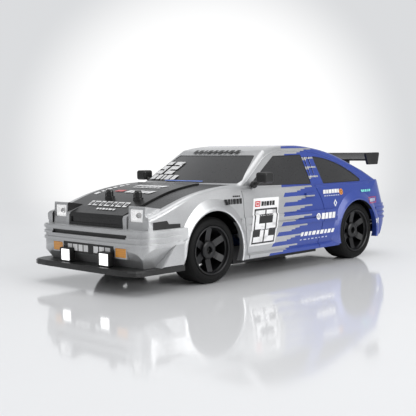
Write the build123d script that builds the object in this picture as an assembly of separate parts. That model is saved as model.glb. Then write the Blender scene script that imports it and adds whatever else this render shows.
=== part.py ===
"""A 1:16 remote control drift car: a lift-off coupe shell over a rear-drive, front-steer chassis.

Millimetres. +X is the car's left, the nose faces -Y, +Z is up, and the wheels stand on z = 0.
Every piece is drawn about the middle of the wheelbase, and save() then moves it so that the
origin lies on the ground under the middle of the car's whole length.
"""
from build123d import *
from math import cos, hypot, pi, radians, sin
import os

# ---------------------------------------------------------------- driving dimensions
WHEELBASE = 150.0
FRONT_OVERHANG = 66.0          # splitter lip ahead of the front axle
REAR_OVERHANG = 46.0           # rear bumper behind the rear axle
HALF_WIDTH = 50.0              # door skin
ROOF_HEIGHT = 83.6
BELT_HEIGHT = 57.6             # bottom of the side windows
SHELL_WALL = 1.3
GLASS_THICKNESS = 0.8
GLASS_RECESS = 0.25

TYRE_RADIUS = 20.5
RIM_RADIUS = 15.0
WHEEL_OUTER = 48.8             # outer face of the tyres, from the middle plane
TYRE_WIDTH = 19.0
HUB_FACE = 44.3                # face of the recessed hub boss
SPOKES = 6
SPOKE_HALF = 2.2               # half width of a spoke
HEX_FLATS = 7.0

FRONT_AXLE = -WHEELBASE / 2
REAR_AXLE = WHEELBASE / 2
AXLE_Z = TYRE_RADIUS
NOSE = FRONT_AXLE - FRONT_OVERHANG
TAIL = REAR_AXLE + REAR_OVERHANG
END_BOW = 0.9                  # how far the nose and tail bow beyond their flat faces
MOULDING_RISE = 0.3            # door mouldings
RIDGE_RISE = 0.8               # how far the bumper ridges stand out
CENTRE_SHIFT = -(NOSE + TAIL + END_BOW + RIDGE_RISE / 2) / 2

FLARE_REACH = 52.0
FRONT_ARCH = (FRONT_AXLE, 24.5)        # centre along the car, and radius
REAR_ARCH = (REAR_AXLE - 1.0, 22.8)

FLOOR_BOTTOM = 7.5
FLOOR_TOP = 9.5
TUB_HALF = 36.0
TUB_WALL = 1.5
TUB_WALL_TOP = 19.0
SPINE_HALF = 18.0              # tub between the steered wheels
REAR_TUB_HALF = 27.0           # tub between the driven wheels

MODULE = 0.5
SPUR_TEETH = 36
PINION_TEETH = 12
GEAR_CENTRES = MODULE * (SPUR_TEETH + PINION_TEETH) / 2
MOTOR_Y = REAR_AXLE - GEAR_CENTRES

KINGPIN_X = 27.0
STEER_ARM = 12.5               # kingpin to link pin, along the car
PIN_INSET = 3.0                # link pin nearer the middle than the kingpin
LINK_Y = FRONT_AXLE + STEER_ARM
HORN_Y = LINK_Y + STEER_ARM    # servo output axis

STUD_X = 13.8
STUD_Y = -104.4
STUD_SEAT = 53.6               # underside of the knobs

SMALL = 0.01


# ---------------------------------------------------------------- helpers
def save(name, *solids):
    """Writes one node. Several solids stay separate solids in the same file."""
    moved = [Pos(0, CENTRE_SHIFT, 0) * one for shape in solids for one in shape.solids()]
    node = moved[0] if len(moved) == 1 else Compound(children=moved)
    export_step(node, f"parts/{name}.step")


def box(x0, x1, y0, y1, z0, z1):
    """A box between two corners."""
    centre = Pos((x0 + x1) / 2, (y0 + y1) / 2, (z0 + z1) / 2)
    return centre * Box(abs(x1 - x0), abs(y1 - y0), abs(z1 - z0))


def rod_x(radius, x0, x1, y, z):
    """A round bar along X."""
    return Pos((x0 + x1) / 2, y, z) * Rot(0, 90, 0) * Cylinder(radius, abs(x1 - x0))


def rod_y(radius, y0, y1, x, z):
    """A round bar along Y."""
    return Pos(x, (y0 + y1) / 2, z) * Rot(90, 0, 0) * Cylinder(radius, abs(y1 - y0))


def rod_z(radius, z0, z1, x, y):
    """A round bar along Z."""
    return Pos(x, y, (z0 + z1) / 2) * Cylinder(radius, abs(z1 - z0))


def side_prism(points, x0, x1):
    """A side-view outline of (y, z) points, pulled from x0 to x1."""
    outline = Pos(x0, 0, 0) * (Plane.YZ * make_face(Polyline(*points, close=True)))
    return extrude(outline, amount=x1 - x0, dir=(1, 0, 0))


def front_prism(points, y0, y1):
    """A front-view outline of (x, z) points, pulled from y0 to y1."""
    outline = Pos(0, y0, 0) * (Plane.XZ * make_face(Polyline(*points, close=True)))
    return extrude(outline, amount=y1 - y0, dir=(0, 1, 0))


def plan_prism(points, z0, z1):
    """A plan outline of (x, y) points, pulled from z0 to z1."""
    outline = Pos(0, 0, z0) * make_face(Polyline(*points, close=True))
    return extrude(outline, amount=z1 - z0, dir=(0, 0, 1))


def mirrored(shape):
    """The same shape on the car's right."""
    return mirror(shape, about=Plane.YZ)


def both(shape):
    """The shape and its mirror image."""
    return [shape, mirrored(shape)]


# ---------------------------------------------------------------- body: basic volumes
BUMPER_FACE = -132.3
BUMPER_TOP = 36.8
BUMPER_FOOT = 14.6
BUMPER_REAR = -100.0
NOSE_FACE = -127.2             # dark face and lamp housings, set back on top of the bumper
BONNET_FRONT = -126.4
COWL = -54.0
OPEN_BOTTOM = 8.0              # hollows run down to here, so the shell is open below

SHOULDER_RADIUS = 2.5
RAIL_RADIUS = 3.6
HEADER_RADIUS = 3.0

BONNET_LINE = [(BONNET_FRONT, 44.2), (-113.6, 48.2), (-96.5, 53.9), (-75.5, 58.0), (COWL, 59.6)]
TAIL_BREAK = 38.6              # the tail leans forward above this height
TAIL_LEAN = 0.4
TAIL_STEP = 1.5                # how far the upper tail stands back from the bumper


def side_profile(growth):
    """The body above the bumper in side view: nose, bonnet line, waist, tail."""
    g = growth
    tail_points = [
        (111.3, 52.2), (114.4, 45.0), (116.9, TAIL_BREAK), (TAIL, BUMPER_TOP), (TAIL, 26.0),
        (118.4, 19.5), (112.5, 16.2),
    ]
    front_y, front_z = BONNET_LINE[0]
    bonnet_points = [(front_y - g, front_z + g)] + [(y, z + g) for y, z in BONNET_LINE[1:]]
    if g < 0:
        under_nose = [(0, OPEN_BOTTOM), (NOSE_FACE - g, OPEN_BOTTOM)]
        under_tail = [(tail_points[-1][0] + g, OPEN_BOTTOM), (0, OPEN_BOTTOM)]
    else:
        under_nose = [(0, 12.0), (-90, 12.0), (-90, 14.6), (NOSE_FACE, 14.6)]
        under_tail = [(96, 14.6), (96, 13.4), (60, 13.4), (0, 12.0)]
    nose = Polyline(*under_nose, (NOSE_FACE - g, 42.6), bonnet_points[0])
    bonnet = Spline(*bonnet_points)
    tail = Polyline(
        bonnet_points[-1], (-20, 57.6 + g), (24, 56.4 + g), (84, 56.0 + g), (94, 57.2 + g),
        (104.0 + g, 57.0 + g),
        *[(y + g, z) for y, z in tail_points], *under_tail,
    )
    return make_face([nose, bonnet, tail])


def symmetric_plan(half):
    """A smooth closed plan outline from its left half, nose to tail."""
    left = Spline(*half, tangents=[(1, 0), (-1, 0)])
    right = Spline(*[(-x, y) for x, y in reversed(half)], tangents=[(-1, 0), (1, 0)])
    return make_face([left, right])


def plan_profile(growth, end_growth=None):
    """The lower body in plan: straight doors, tapered and rounded nose and tail."""
    middle = (BUMPER_FACE + TAIL) / 2
    wide = 1 + growth / HALF_WIDTH
    long = 1 + (growth if end_growth is None else end_growth) / (TAIL - middle)
    half = [
        (0, BUMPER_FACE - END_BOW), (24.0, BUMPER_FACE - 0.6), (38.0, BUMPER_FACE), (45.5, -130.6),
        (48.8, -126.8), (HALF_WIDTH - 0.2, -119.0), (HALF_WIDTH, -98.0), (HALF_WIDTH, -60.0),
        (HALF_WIDTH, 84.0), (49.0, 100.0), (47.4, 110.0), (44.6, 115.8), (38.0, 119.8),
        (20.0, TAIL + 0.6), (0, TAIL + END_BOW),
    ]
    return symmetric_plan([(x * wide, middle + (y - middle) * long) for x, y in half])


def bumper_plan(growth):
    """The front bumper in plan: wider and squarer than the body above it."""
    g = growth
    half = [
        (0, BUMPER_FACE - END_BOW - g), (26.0, BUMPER_FACE - 0.8 - g), (40.0, BUMPER_FACE - 0.3 - g),
        (46.6 + g / 2, -131.2 - g), (49.4 + g, -128.2 - g / 2), (50.6 + g, -122.0), (50.8 + g, -110.0),
        (50.8 + g, -70.0), (30.0, -60.0), (0, -58.0),
    ]
    return symmetric_plan(half)


def bumper_block(growth):
    """The front bumper, drawn in towards the splitter below its lowest ridge."""
    g = growth
    bottom = OPEN_BOTTOM if g < 0 else BUMPER_FOOT
    side = [
        (BUMPER_REAR + 1, bottom), (-127.4 - g, bottom), (-127.4 - g, BUMPER_FOOT + SMALL),
        (-130.4 - g, 19.5),
        (-134.0 - g, 27.2), (-134.0 - g, BUMPER_TOP - 0.8), (-133.0 - g, BUMPER_TOP + g),
        (BUMPER_REAR + 1, BUMPER_TOP + g),
    ]
    half = [
        (44.4 + g, bottom), (44.4 + g, BUMPER_FOOT + SMALL), (46.8 + g, 19.0), (51.0 + g, 27.0),
        (54.0, BUMPER_TOP + g),
    ]
    front = half + [(-x, z) for x, z in reversed(half)]
    block = side_prism(side, -60, 60) & front_prism(front, -140, BUMPER_REAR + 1)
    return block & extrude(bumper_plan(g), amount=60)


def section_profile(growth):
    """The lower body in front view: upright sides, a shoulder and a tuck under the sill."""
    half = [
        (47.6, 10.0), (49.2, 19.0), (HALF_WIDTH, 29.0), (HALF_WIDTH - 0.3, 40.0), (49.0, 50.0),
        (47.2, 57.0), (45.0, 62.0),
    ]
    half = [(x * (1 + growth / HALF_WIDTH), z) for x, z in half]
    left = Spline(*half)
    top = Line(half[-1], (-half[-1][0], half[-1][1]))
    right = Spline(*[(-x, z) for x, z in reversed(half)])
    bottom = Line((-half[0][0], half[0][1]), half[0])
    return make_face([left, top, right, bottom])


def grown(profile, growth):
    """A flat outline moved outwards by growth, or inwards when it is negative."""
    return profile if growth == 0 else offset(profile, amount=growth, kind=Kind.INTERSECTION)


def tail_undercut(growth):
    """The wedge cut away under the left rear corner of the bumper."""
    outline = [(0.8 + growth, 0), (growth - 7.4, -20), (20, -20), (20, 0)]
    wedge = extrude(Plane.XZ * make_face(Polyline(*outline, close=True)), amount=40, both=True)
    return Pos(48.5, 111.5, 27.2) * Rot(0, 0, 45) * wedge


def lower_body(growth=0.0, soft_edges=False):
    """The lower body as one solid, or shrunk all round when growth is negative."""
    from_side = extrude(Plane.YZ * side_profile(growth), amount=60, both=True)
    from_front = extrude(Plane.XZ * section_profile(growth), amount=160, both=True)
    blank = (from_side & from_front).solids()[0]
    if soft_edges:
        long_top = [
            e for e in blank.edges()
            if e.center().Z > 42 and abs(e.center().X) > 40 and e.length > 10 and -120 < e.center().Y < 100
        ]
        blank = fillet(long_top, SHOULDER_RADIUS)
    plan = plan_profile(growth)
    lean_length = 40 * hypot(1, TAIL_LEAN)
    upper_plan = Pos(0, -TAIL_STEP, TAIL_BREAK) * plan
    leaning = extrude(upper_plan, amount=lean_length, dir=(0, -TAIL_LEAN, 1))
    behind_bumper = box(-60, 60, -140, BUMPER_REAR, 0, BUMPER_TOP + growth)
    below = (blank & extrude(plan, amount=TAIL_BREAK)) - behind_bumper - both(tail_undercut(growth))
    above = blank & leaning
    return (below + above + bumper_block(growth)).solids()[0]


WINDSCREEN_FOOT = -55.0
WINDSCREEN_HEAD = -24.5
HEADER_HEIGHT = 77.5
RAKE = (WINDSCREEN_HEAD - WINDSCREEN_FOOT) / (HEADER_HEIGHT - BELT_HEIGHT)


def roof_profile():
    """The cabin in side view: the windscreen side is cut later by the curved screen."""
    roof = ThreePointArc((-24, 79.2), (7, ROOF_HEIGHT), (38, 81.4))
    fall = ThreePointArc((38, 81.4), (54, 78.0), (69, 72.9))
    ends = Polyline(
        (69, 72.9), (90, 64.2), (101.5, 58.0), (103, 52), (-80, 52), (-80, 77.5), (-24, 79.2),
    )
    return make_face([roof, fall, ends])


def cabin_section():
    """The cabin in front view, narrowing to the roof."""
    half = [(0, 50.0), (46.6, 50.0), (46.6, BELT_HEIGHT), (40.6, 76.6), (37.2, 86.6), (0, 86.6)]
    left = Polyline(*half)
    right = Polyline(*[(-x, z) for x, z in reversed(half)])
    return make_face([left, right])


def screen_plan():
    """The cabin in plan: a bowed front that is then raked back as it rises."""
    corner_x = 46.6
    foot = BELT_HEIGHT - 52.0
    front = WINDSCREEN_FOOT - RAKE * foot
    bow = 5.0
    left_corner = (corner_x + 8, front + bow * 1.37)
    right_corner = (-left_corner[0], left_corner[1])
    arc = ThreePointArc(right_corner, (0, front), left_corner)
    back = Polyline(left_corner, (left_corner[0], 130), (right_corner[0], 130), right_corner)
    return make_face([arc, back])


def cabin(growth=0.0):
    """The cabin as one solid, grown or shrunk all round."""
    from_side = extrude(Plane.YZ * grown(roof_profile(), growth), amount=60, both=True)
    from_front = extrude(Plane.XZ * grown(cabin_section(), growth), amount=160, both=True)
    rake_growth = -growth * 1.75
    plan = Pos(0, rake_growth, 52.0) * screen_plan()
    from_above = extrude(plan, amount=40 * hypot(1, RAKE), dir=(0, RAKE, 1))
    return (from_side & from_front & from_above).solids()[0]


def softened_cabin():
    """The cabin with rounded roof rails, tight screen pillars and a soft header."""
    solid = cabin()
    rails = [
        e for e in solid.edges()
        if e.center().Z > 60 and abs(e.center().X) > 30 and e.center().Y > -16
    ]
    solid = fillet(rails, RAIL_RADIUS)
    header = [
        e for e in solid.edges()
        if e.center().Y < -16 and e.center().Z > 78 and abs(e.center().X) < 5
    ]
    return fillet(header, HEADER_RADIUS)


# ---------------------------------------------------------------- body: outlines of openings
DOOR_GLASS = [(-39.2, 58.3), (-8.8, 76.9), (20.6, 77.2), (24.6, 56.8)]
QUARTER_GLASS_FRONT = [(32.8, 75.8), (38.0, 56.5)]
QUARTER_GLASS_TIP = (85.0, 56.4)
SCREEN_DEPTH = 5.2
SCREEN_GLASS = [(-45.4, 60.1), (45.4, 60.1), (35.8, 77.5), (-35.8, 77.5)]
HATCH_GLASS = [(-33.0, 50.0), (33.0, 50.0), (37.0, 90.0), (-37.0, 90.0)]

POD_IN, POD_OUT = 29.4, 44.4
POD_REAR = -113.8
POD_BOTTOM = BUMPER_TOP + 0.1
POD_SIDE = [(-126.4, POD_BOTTOM), (-125.4, 50.3), (POD_REAR, 48.3), (POD_REAR, POD_BOTTOM)]
GRILLE_HALF = 26.0
GRILLE_TOP = 43.8
BONNET_HALF_REAR = 44.0
BONNET_THICKNESS = 1.2
BULGE_RISE = 1.1
BULGE = [(-22.2, -60.0), (22.2, -60.0), (25.6, -98.0), (25.6, -126.4), (-25.6, -126.4), (-25.6, -98.0)]
CHANNEL = [(23.0, -62.0), (26.5, -98.0), (26.5, -112.0)]

VENT_HALF = 36.0
VENT_Z = (31.5, 33.9)
INDICATOR = (25.9, 35.5, 20.7, 26.1)
PLATE = (-24.6, 24.6, 20.7, 26.9)
FOG_X = 18.8
SPLITTER_Z = (11.4, 14.6)
MARKER = [(-124.2, 37.0), (-124.2, 41.4), (-113.8, 41.7), (-112.4, 39.7), (-103.4, 39.3), (-103.4, 37.0)]
TAIL_LAMP = (20.0, 42.0, 42.0, 50.0)

DOOR_FRONT_LINE = [(-47.6, 55.5), (-47.4, 40.0), (-44.0, 12.5)]
DOOR_REAR_LINE = [(27.0, 56.5), (33.6, 44.0), (35.4, 38.8), (31.0, 21.2), (27.6, 13.0)]


def rounded(points, radius, plane):
    """A closed outline with rounded corners, on the given plane."""
    face = make_face(Polyline(*points, close=True))
    return plane * fillet(face.vertices(), radius)


def door_glass_prism():
    """The left door window's opening, with rounded corners."""
    return extrude(rounded(DOOR_GLASS, 1.6, Plane.YZ), amount=60, dir=(1, 0, 0))


def quarter_glass_prism():
    """A long triangle whose top edge follows the fall of the roof."""
    top_front, bottom_front = QUARTER_GLASS_FRONT
    outline = make_face([
        Line(top_front, bottom_front),
        Line(bottom_front, QUARTER_GLASS_TIP),
        ThreePointArc(QUARTER_GLASS_TIP, (61.5, 69.3), top_front),
    ])
    outline = fillet(outline.vertices(), 1.2)
    return extrude(Plane.YZ * outline, amount=60, dir=(1, 0, 0))


def screen_glass_prism():
    """The windscreen's opening: its outline from the front, only as deep as the screen."""
    straight = Pos(0, -20, 0) * extrude(rounded(SCREEN_GLASS, 1.8, Plane.XZ), amount=60)
    return straight - Pos(0, SCREEN_DEPTH, 0) * cabin(1.0)


def hatch_glass_prism():
    """The rear window's opening, seen from above."""
    return Pos(0, 0, 60) * extrude(rounded(HATCH_GLASS, 2.5, Plane.XY), amount=40)


def bonnet_prism():
    """Plan of the bonnet: narrow between the lamp housings, wide behind them."""
    half = [
        (GRILLE_HALF, -140.0), (GRILLE_HALF, -120.0), (POD_IN, POD_REAR), (43.6, POD_REAR),
        (BONNET_HALF_REAR, -96.0), (BONNET_HALF_REAR, -50.4), (30.0, -52.6), (15.0, -54.2), (0, -54.8),
    ]
    outline = half + [(-x, y) for x, y in reversed(half[:-1])]
    return plan_prism(outline, GRILLE_TOP, 70)


def pod_prism():
    """The block of the left lamp housing, also its seat in the shell."""
    return side_prism(POD_SIDE, POD_IN, POD_OUT)


def arch_flare(arch, front_end, rear_end):
    """A raised lip round a left wheel arch, down to a given height ahead of and behind the wheel."""
    centre_y, radius = arch
    reach, inner = FLARE_REACH, 46.6
    profile = Polyline(
        (inner, radius - 0.5), (reach - 0.5, radius - 0.5), (reach, radius + 0.9),
        (reach - 0.5, radius + 2.4), (49.0, radius + 7.0), (inner, radius + 7.0), close=True,
    )
    ring = revolve(make_face(profile), axis=Axis.X)
    placed = Pos(0, centre_y, AXLE_Z) * ring
    ahead = placed & box(40, 60, centre_y - 40, centre_y, front_end, 60)
    return ahead + (placed & box(40, 60, centre_y, centre_y + 40, rear_end, 60))


def flare_foot():
    """The wedge that carries the left front flare forward and down to the splitter."""
    low = SPLITTER_Z[1]
    outline = [(-99.0, 24.0), (-101.0, 32.0), (-105.4, 31.4), (-108.4, 27.8), (-119.0, low), (-100.0, low)]
    wedge = side_prism(outline, 44, FLARE_REACH - 0.7)
    front = [e for e in wedge.edges() if e.center().X > 50 and e.center().Y < -108]
    return chamfer(front, 0.6)


def arch_opening():
    """Room for a front wheel below the axle, where the arch runs forward instead of closing in."""
    return side_prism([(-98.9, 25.5), (-99.6, 22.5), (-103.6, 10.0), (-90.0, 10.0)], 38, 60)


def groove(points, core):
    """A shallow panel gap along a side-view line, both sides, down to the given core."""
    strip = Plane.YZ * trace(Polyline(*points), 0.55)
    return extrude(strip, amount=60, both=True) - core


def band(plan, y0, y1, low, high):
    """A raised band that follows a plan outline between two heights."""
    around = Pos(0, 0, low) * extrude(plan, amount=high - low)
    return around & box(-60, 60, y0, y1, low, high)


def raised_bands():
    """Bumper ridges round the nose and tail, mouldings and handles on the doors."""
    bands = []
    tail_plan = plan_profile(RIDGE_RISE, RIDGE_RISE / 2)
    door_plan = plan_profile(MOULDING_RISE)
    for low, high in ((34.4, 36.2), (31.1, 32.5), (27.3, 29.0)):
        bands.append(band(bumper_plan(RIDGE_RISE), -140, FRONT_AXLE - 27, low, high))
        bands.append(band(tail_plan, REAR_AXLE + 24, 140, low, high))
    for low, high in ((34.6, 38.6), (30.6, 33.6)):
        bands.append(band(door_plan, -50, 49, low, high))
    bands.append(band(plan_profile(-0.2), 14.5, 24.5, 48.6, 51.0))
    return bands


def indicator_bezel():
    """The raised surround of the left indicator."""
    x0, x1, z0, z1 = INDICATOR
    return box(x0 - 0.7, x1 + 0.7, -132.95, -126, z0 - 0.7, z1 + 0.7)


def sill():
    """The lip along the bottom of the left door."""
    return front_prism([(47.6, 12.2), (50.8, 12.2), (50.8, 14.4), (49.0, 15.6), (47.6, 15.6)], -51.5, 51.5)


def body_shell(body, core, skin_core):
    """The painted shell: one moulding with openings for glass, lamps, bonnet and wheels."""
    lower = body + raised_bands()
    lower = lower + both(arch_flare(FRONT_ARCH, SPLITTER_Z[1], 12.2))
    lower = lower + both(arch_flare(REAR_ARCH, 13.4, 14.6))
    lower = lower + both(flare_foot()) + both(sill()) + both(indicator_bezel())
    lower = lower - core
    lower = lower - bonnet_prism() - box(-GRILLE_HALF, GRILLE_HALF, -135, -122, POD_BOTTOM, GRILLE_TOP)
    lower = lower - both(pod_prism()) - both(box(POD_IN, POD_OUT, -135, POD_SIDE[1][0], POD_BOTTOM, 60))
    lower = lower - box(-VENT_HALF, VENT_HALF, -140, -131.4, *VENT_Z)
    lower = lower - bumper_pockets()
    lower = lower - both(box(TAIL_LAMP[0], TAIL_LAMP[1], 100, 130, *TAIL_LAMP[2:]) - skin_core)
    for line in (DOOR_FRONT_LINE, DOOR_REAR_LINE):
        lower = lower - groove(line, skin_core)
    for centre_y, radius in (FRONT_ARCH, REAR_ARCH):
        lower = lower - both(rod_x(radius, 38, 60, centre_y, AXLE_Z))
    lower = lower - both(arch_opening())
    hollow = cabin(-SHELL_WALL)
    upper = softened_cabin() - hollow - core
    shell = (lower - hollow) + upper
    for side_opening in (door_glass_prism(), quarter_glass_prism()):
        shell = shell - both(side_opening)
    shell = shell - screen_glass_prism() - hatch_glass_prism()
    return max(shell.solids(), key=lambda one: one.volume)


def bumper_pockets():
    """Seats of the front plate and the two indicators."""
    x0, x1, z0, z1 = INDICATOR
    left = box(x0, x1, -140, -130.6, z0, z1)
    plate = box(PLATE[0], PLATE[1], -140, -131.0, PLATE[2], PLATE[3])
    return both(left) + [plate]


# ---------------------------------------------------------------- body: fitted pieces
def glass_skin():
    """The thin layer of the cabin that every window is cut from."""
    return cabin(-GLASS_RECESS) - cabin(-GLASS_RECESS - GLASS_THICKNESS)


def bonnet(body):
    """The dark bonnet: a thin panel with a raised middle, a groove each side and two stud holes."""
    under = Pos(0, 0, -BONNET_THICKNESS) * body
    panel = (body - under) & bonnet_prism()
    bulge = (Pos(0, 0, BULGE_RISE) * body - body) & plan_prism(BULGE, GRILLE_TOP, 70)
    fade = side_prism([(-130, 43.0), (-126.8, 44.3), (-114.0, 49.4), (-114.0, 70), (-130, 70)], -60, 60)
    bulge = bulge - fade
    panel = panel + bulge
    floor = Pos(0, 0, -0.6) * body
    channel = extrude(Pos(0, 0, 40) * trace(Polyline(*CHANNEL), 1.7), amount=30) - floor
    panel = panel - both(channel)
    for x in (-STUD_X, STUD_X):
        panel = panel + (rod_z(3.2, 50, STUD_SEAT - 0.1, x, STUD_Y) - under)
        panel = panel - rod_z(2.0, 40, 70, x, STUD_Y)
    return max(panel.solids(), key=lambda one: one.volume)


def grille_panel():
    """The dark face below the bonnet's front edge, with a long shallow recess."""
    outline = [
        (NOSE_FACE - 0.4, POD_BOTTOM), (NOSE_FACE - 0.1, 42.6), (BONNET_FRONT - 0.2, GRILLE_TOP),
        (-124.6, GRILLE_TOP), (-125.4, 42.2), (-125.8, POD_BOTTOM),
    ]
    panel = side_prism(outline, -GRILLE_HALF, GRILLE_HALF)
    return panel - box(-GRILLE_HALF + 2.2, GRILLE_HALF - 2.2, -135, NOSE_FACE + 0.5, 38.6, 42.0)


def headlamp_housing():
    """The left raised lamp housing: a wedge with a square window."""
    block = pod_prism()
    front = [e for e in block.edges() if e.center().Y < -124 and e.center().Z > 38]
    block = fillet(front, 0.7)
    window = box(31.2, 42.6, -140, -121.6, 41.0, 48.6)
    return block - window


LED_X = 36.9
LED_Z = 44.8


def headlamp_reflector():
    """The white dish in the left housing, with a hole for its lamp."""
    dish = box(31.4, 42.4, -125.3, -121.6, 41.2, 48.4)
    bowl = box(32.6, 41.2, -126.5, -123.0, 42.3, 47.3)
    return dish - bowl - rod_y(1.55, -124.0, -121, LED_X, LED_Z)


def headlamp_led():
    """A 3 mm lamp in the middle of the left reflector."""
    body = rod_y(1.5, -124.1, -121.7, LED_X, LED_Z)
    return body + Pos(LED_X, -124.1, LED_Z) * Sphere(1.5)


def bumper_vent():
    """The black strip in the front bumper."""
    low, high = VENT_Z
    return box(-VENT_HALF, VENT_HALF, -132.1, -131.4, low, high)


def indicator():
    """The left amber lamp beside the front plate."""
    x0, x1, z0, z1 = INDICATOR
    plate = box(x0, x1, -133.1, -130.6, z0, z1)
    return fillet([e for e in plate.edges() if e.center().Y < -133], 0.4)


def bumper_plate():
    """The dark plate between the indicators."""
    x0, x1, z0, z1 = PLATE
    return box(x0, x1, -132.9, -131.0, z0, z1)


def fog_lamp_case():
    """A square case that stands on the splitter, open to the front."""
    low = SPLITTER_Z[1]
    case = box(FOG_X - 5.3, FOG_X + 5.3, -136.6, -133.1, low, 23.4)
    case = fillet(case.edges().filter_by(Axis.Y), 1.2)
    well = box(FOG_X - 4.4, FOG_X + 4.4, -138, -135.4, low + 0.8, 22.5)
    return case - well


def fog_lamp_lens():
    """The lens that fills the left fog lamp case."""
    low = SPLITTER_Z[1] + 0.9
    lens = box(FOG_X - 4.3, FOG_X + 4.3, -136.3, -135.4, low, 22.4)
    return fillet([e for e in lens.edges() if e.center().Y < -136.2], 0.4)


def splitter():
    """The front lip: a thick plate with rounded corners and clearance for the steered wheels."""
    low, high = SPLITTER_Z
    half = [
        (0, NOSE), (34.0, NOSE + 0.4), (44.0, NOSE + 1.3), (49.0, NOSE + 3.6), (50.8, NOSE + 8.0),
        (50.8, -100.8), (46.0, -100.8), (46.0, -104.0), (20.0, -111.0),
    ]
    outline = half + [(-x, y) for x, y in reversed(half[1:])]
    plate = plan_prism(outline, low, high)
    front_top = [e for e in plate.edges() if e.center().Z > high - SMALL and e.center().Y < -126]
    plate = chamfer(front_top, 1.0)
    for side in (-1, 1):
        plate = plate - rod_z(31.0, low - 1, high + 1, side * KINGPIN_X, FRONT_AXLE)
    return plate


def side_marker(body):
    """The notched black plate on the left front corner."""
    proud = Pos(0.45, 0, 0) * body
    return (proud - Pos(-0.1, 0, 0) * body) & side_prism(MARKER, 40, 60) - body


def door_mirror(body):
    """The left mirror: a ball foot, a neck and a tapered head with a recess at its back."""
    head = box(53.4, 62.2, -41.0, -32.4, 60.4, 67.2)
    head = fillet(head.edges(), 1.6)
    head = head - box(54.6, 61.0, -33.2, -30, 61.6, 66.0)
    neck = Pos(52.2, -37.2, 60.4) * Rot(0, 60, 0) * Cylinder(1.3, 6.4)
    foot = Pos(48.9, -37.2, 59.2) * Sphere(2.4)
    return (head + neck + foot) - body - cabin()


def mirror_glass():
    """The left mirror's glass, in the recess of its head."""
    return box(54.8, 60.8, -33.2, -32.7, 61.8, 65.8)


WING_HALF = 46.4


def wing_blade():
    """A cambered blade that rises to its trailing edge."""
    outline = make_face([
        ThreePointArc((89.8, 72.6), (97.0, 73.6), (105.2, 77.0)),
        Line((105.2, 77.0), (105.5, 76.0)),
        ThreePointArc((105.5, 76.0), (97.6, 71.9), (90.0, 71.2)),
        ThreePointArc((90.0, 71.2), (89.2, 71.9), (89.8, 72.6)),
    ])
    return extrude(Plane.YZ * outline, amount=WING_HALF, both=True)


def wing_end_plate():
    """The left end plate of the wing."""
    outline = [(87.9, 77.2), (105.9, 77.2), (103.6, 68.3), (91.2, 68.3)]
    return extrude(Pos(WING_HALF, 0, 0) * rounded(outline, 1.2, Plane.YZ), amount=1.7, dir=(1, 0, 0))


def wing_strut(shell_top):
    """The left strut, from the hatch up to the blade."""
    strut = side_prism([(93.6, 56.0), (101.6, 56.0), (103.4, 78.0), (94.8, 78.0)], 21.0, 23.2)
    return max((strut - shell_top - wing_reach()).solids(), key=lambda one: one.volume)


def wing_reach():
    """Everything above the blade's underside, so that the struts stop at it."""
    under = make_face([
        ThreePointArc((105.5, 76.0), (97.6, 71.9), (90.0, 71.2)),
        Polyline((90.0, 71.2), (80.0, 71.2), (80.0, 90.0), (120.0, 90.0), (120.0, 76.0), (105.5, 76.0)),
    ])
    return extrude(Plane.YZ * under, amount=60, both=True)


def tail_lamp(body, skin_core):
    """The left tail lamp: a thin red layer let into the tail."""
    x0, x1, z0, z1 = TAIL_LAMP
    layer = (Pos(0, 0.4, 0) * body - skin_core) & box(x0, x1, 100, 130, z0, z1)
    return max(layer.solids(), key=lambda one: one.volume)


def bonnet_stud(x):
    """A turn stud: domed knob with a pointer, and a stem that goes down into a chassis post."""
    seat = STUD_SEAT
    knob = rod_z(2.4, seat, 58.0, x, STUD_Y)
    knob = fillet(knob.edges().sort_by(Axis.Z)[-1], 1.6)
    pointer = box(x - 0.6, x + 0.6, STUD_Y - 3.3, STUD_Y - 2.0, seat, seat + 2.4)
    stem = rod_z(1.6, 42.0, seat, x, STUD_Y)
    return knob + pointer + stem


# ---------------------------------------------------------------- wheels
def tyre():
    """The left tyre about the X axis: slick crown and rounded shoulders."""
    inner, outer = WHEEL_OUTER - TYRE_WIDTH, WHEEL_OUTER
    face = make_face([
        Line((inner + 0.3, RIM_RADIUS), (inner, 17.6)),
        ThreePointArc((inner, 17.6), (inner + 0.9, 19.6), (inner + 3.0, TYRE_RADIUS)),
        Line((inner + 3.0, TYRE_RADIUS), (outer - 3.4, TYRE_RADIUS)),
        ThreePointArc((outer - 3.4, TYRE_RADIUS), (outer - 1.2, 19.7), (outer - 0.2, 18.0)),
        Polyline((outer - 0.2, 18.0), (outer, 17.4), (outer - 0.2, 16.2), (outer - 1.0, RIM_RADIUS)),
        Line((outer - 1.0, RIM_RADIUS), (inner + 0.3, RIM_RADIUS)),
    ])
    return revolve(face, axis=Axis.X)


def spoke():
    """One upright spoke: dished from the hub face out to the rim lip."""
    points = [
        (HUB_FACE - 0.5, 3.2), (HUB_FACE - 0.4, 5.4), (HUB_FACE + 0.2, 9.0), (46.0, 13.9),
        (42.6, 13.9), (41.0, 8.6), (40.6, 3.2),
    ]
    face = make_face(Polyline(*points, close=True))
    return extrude(Plane.XZ * face, amount=SPOKE_HALF, both=True)


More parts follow.
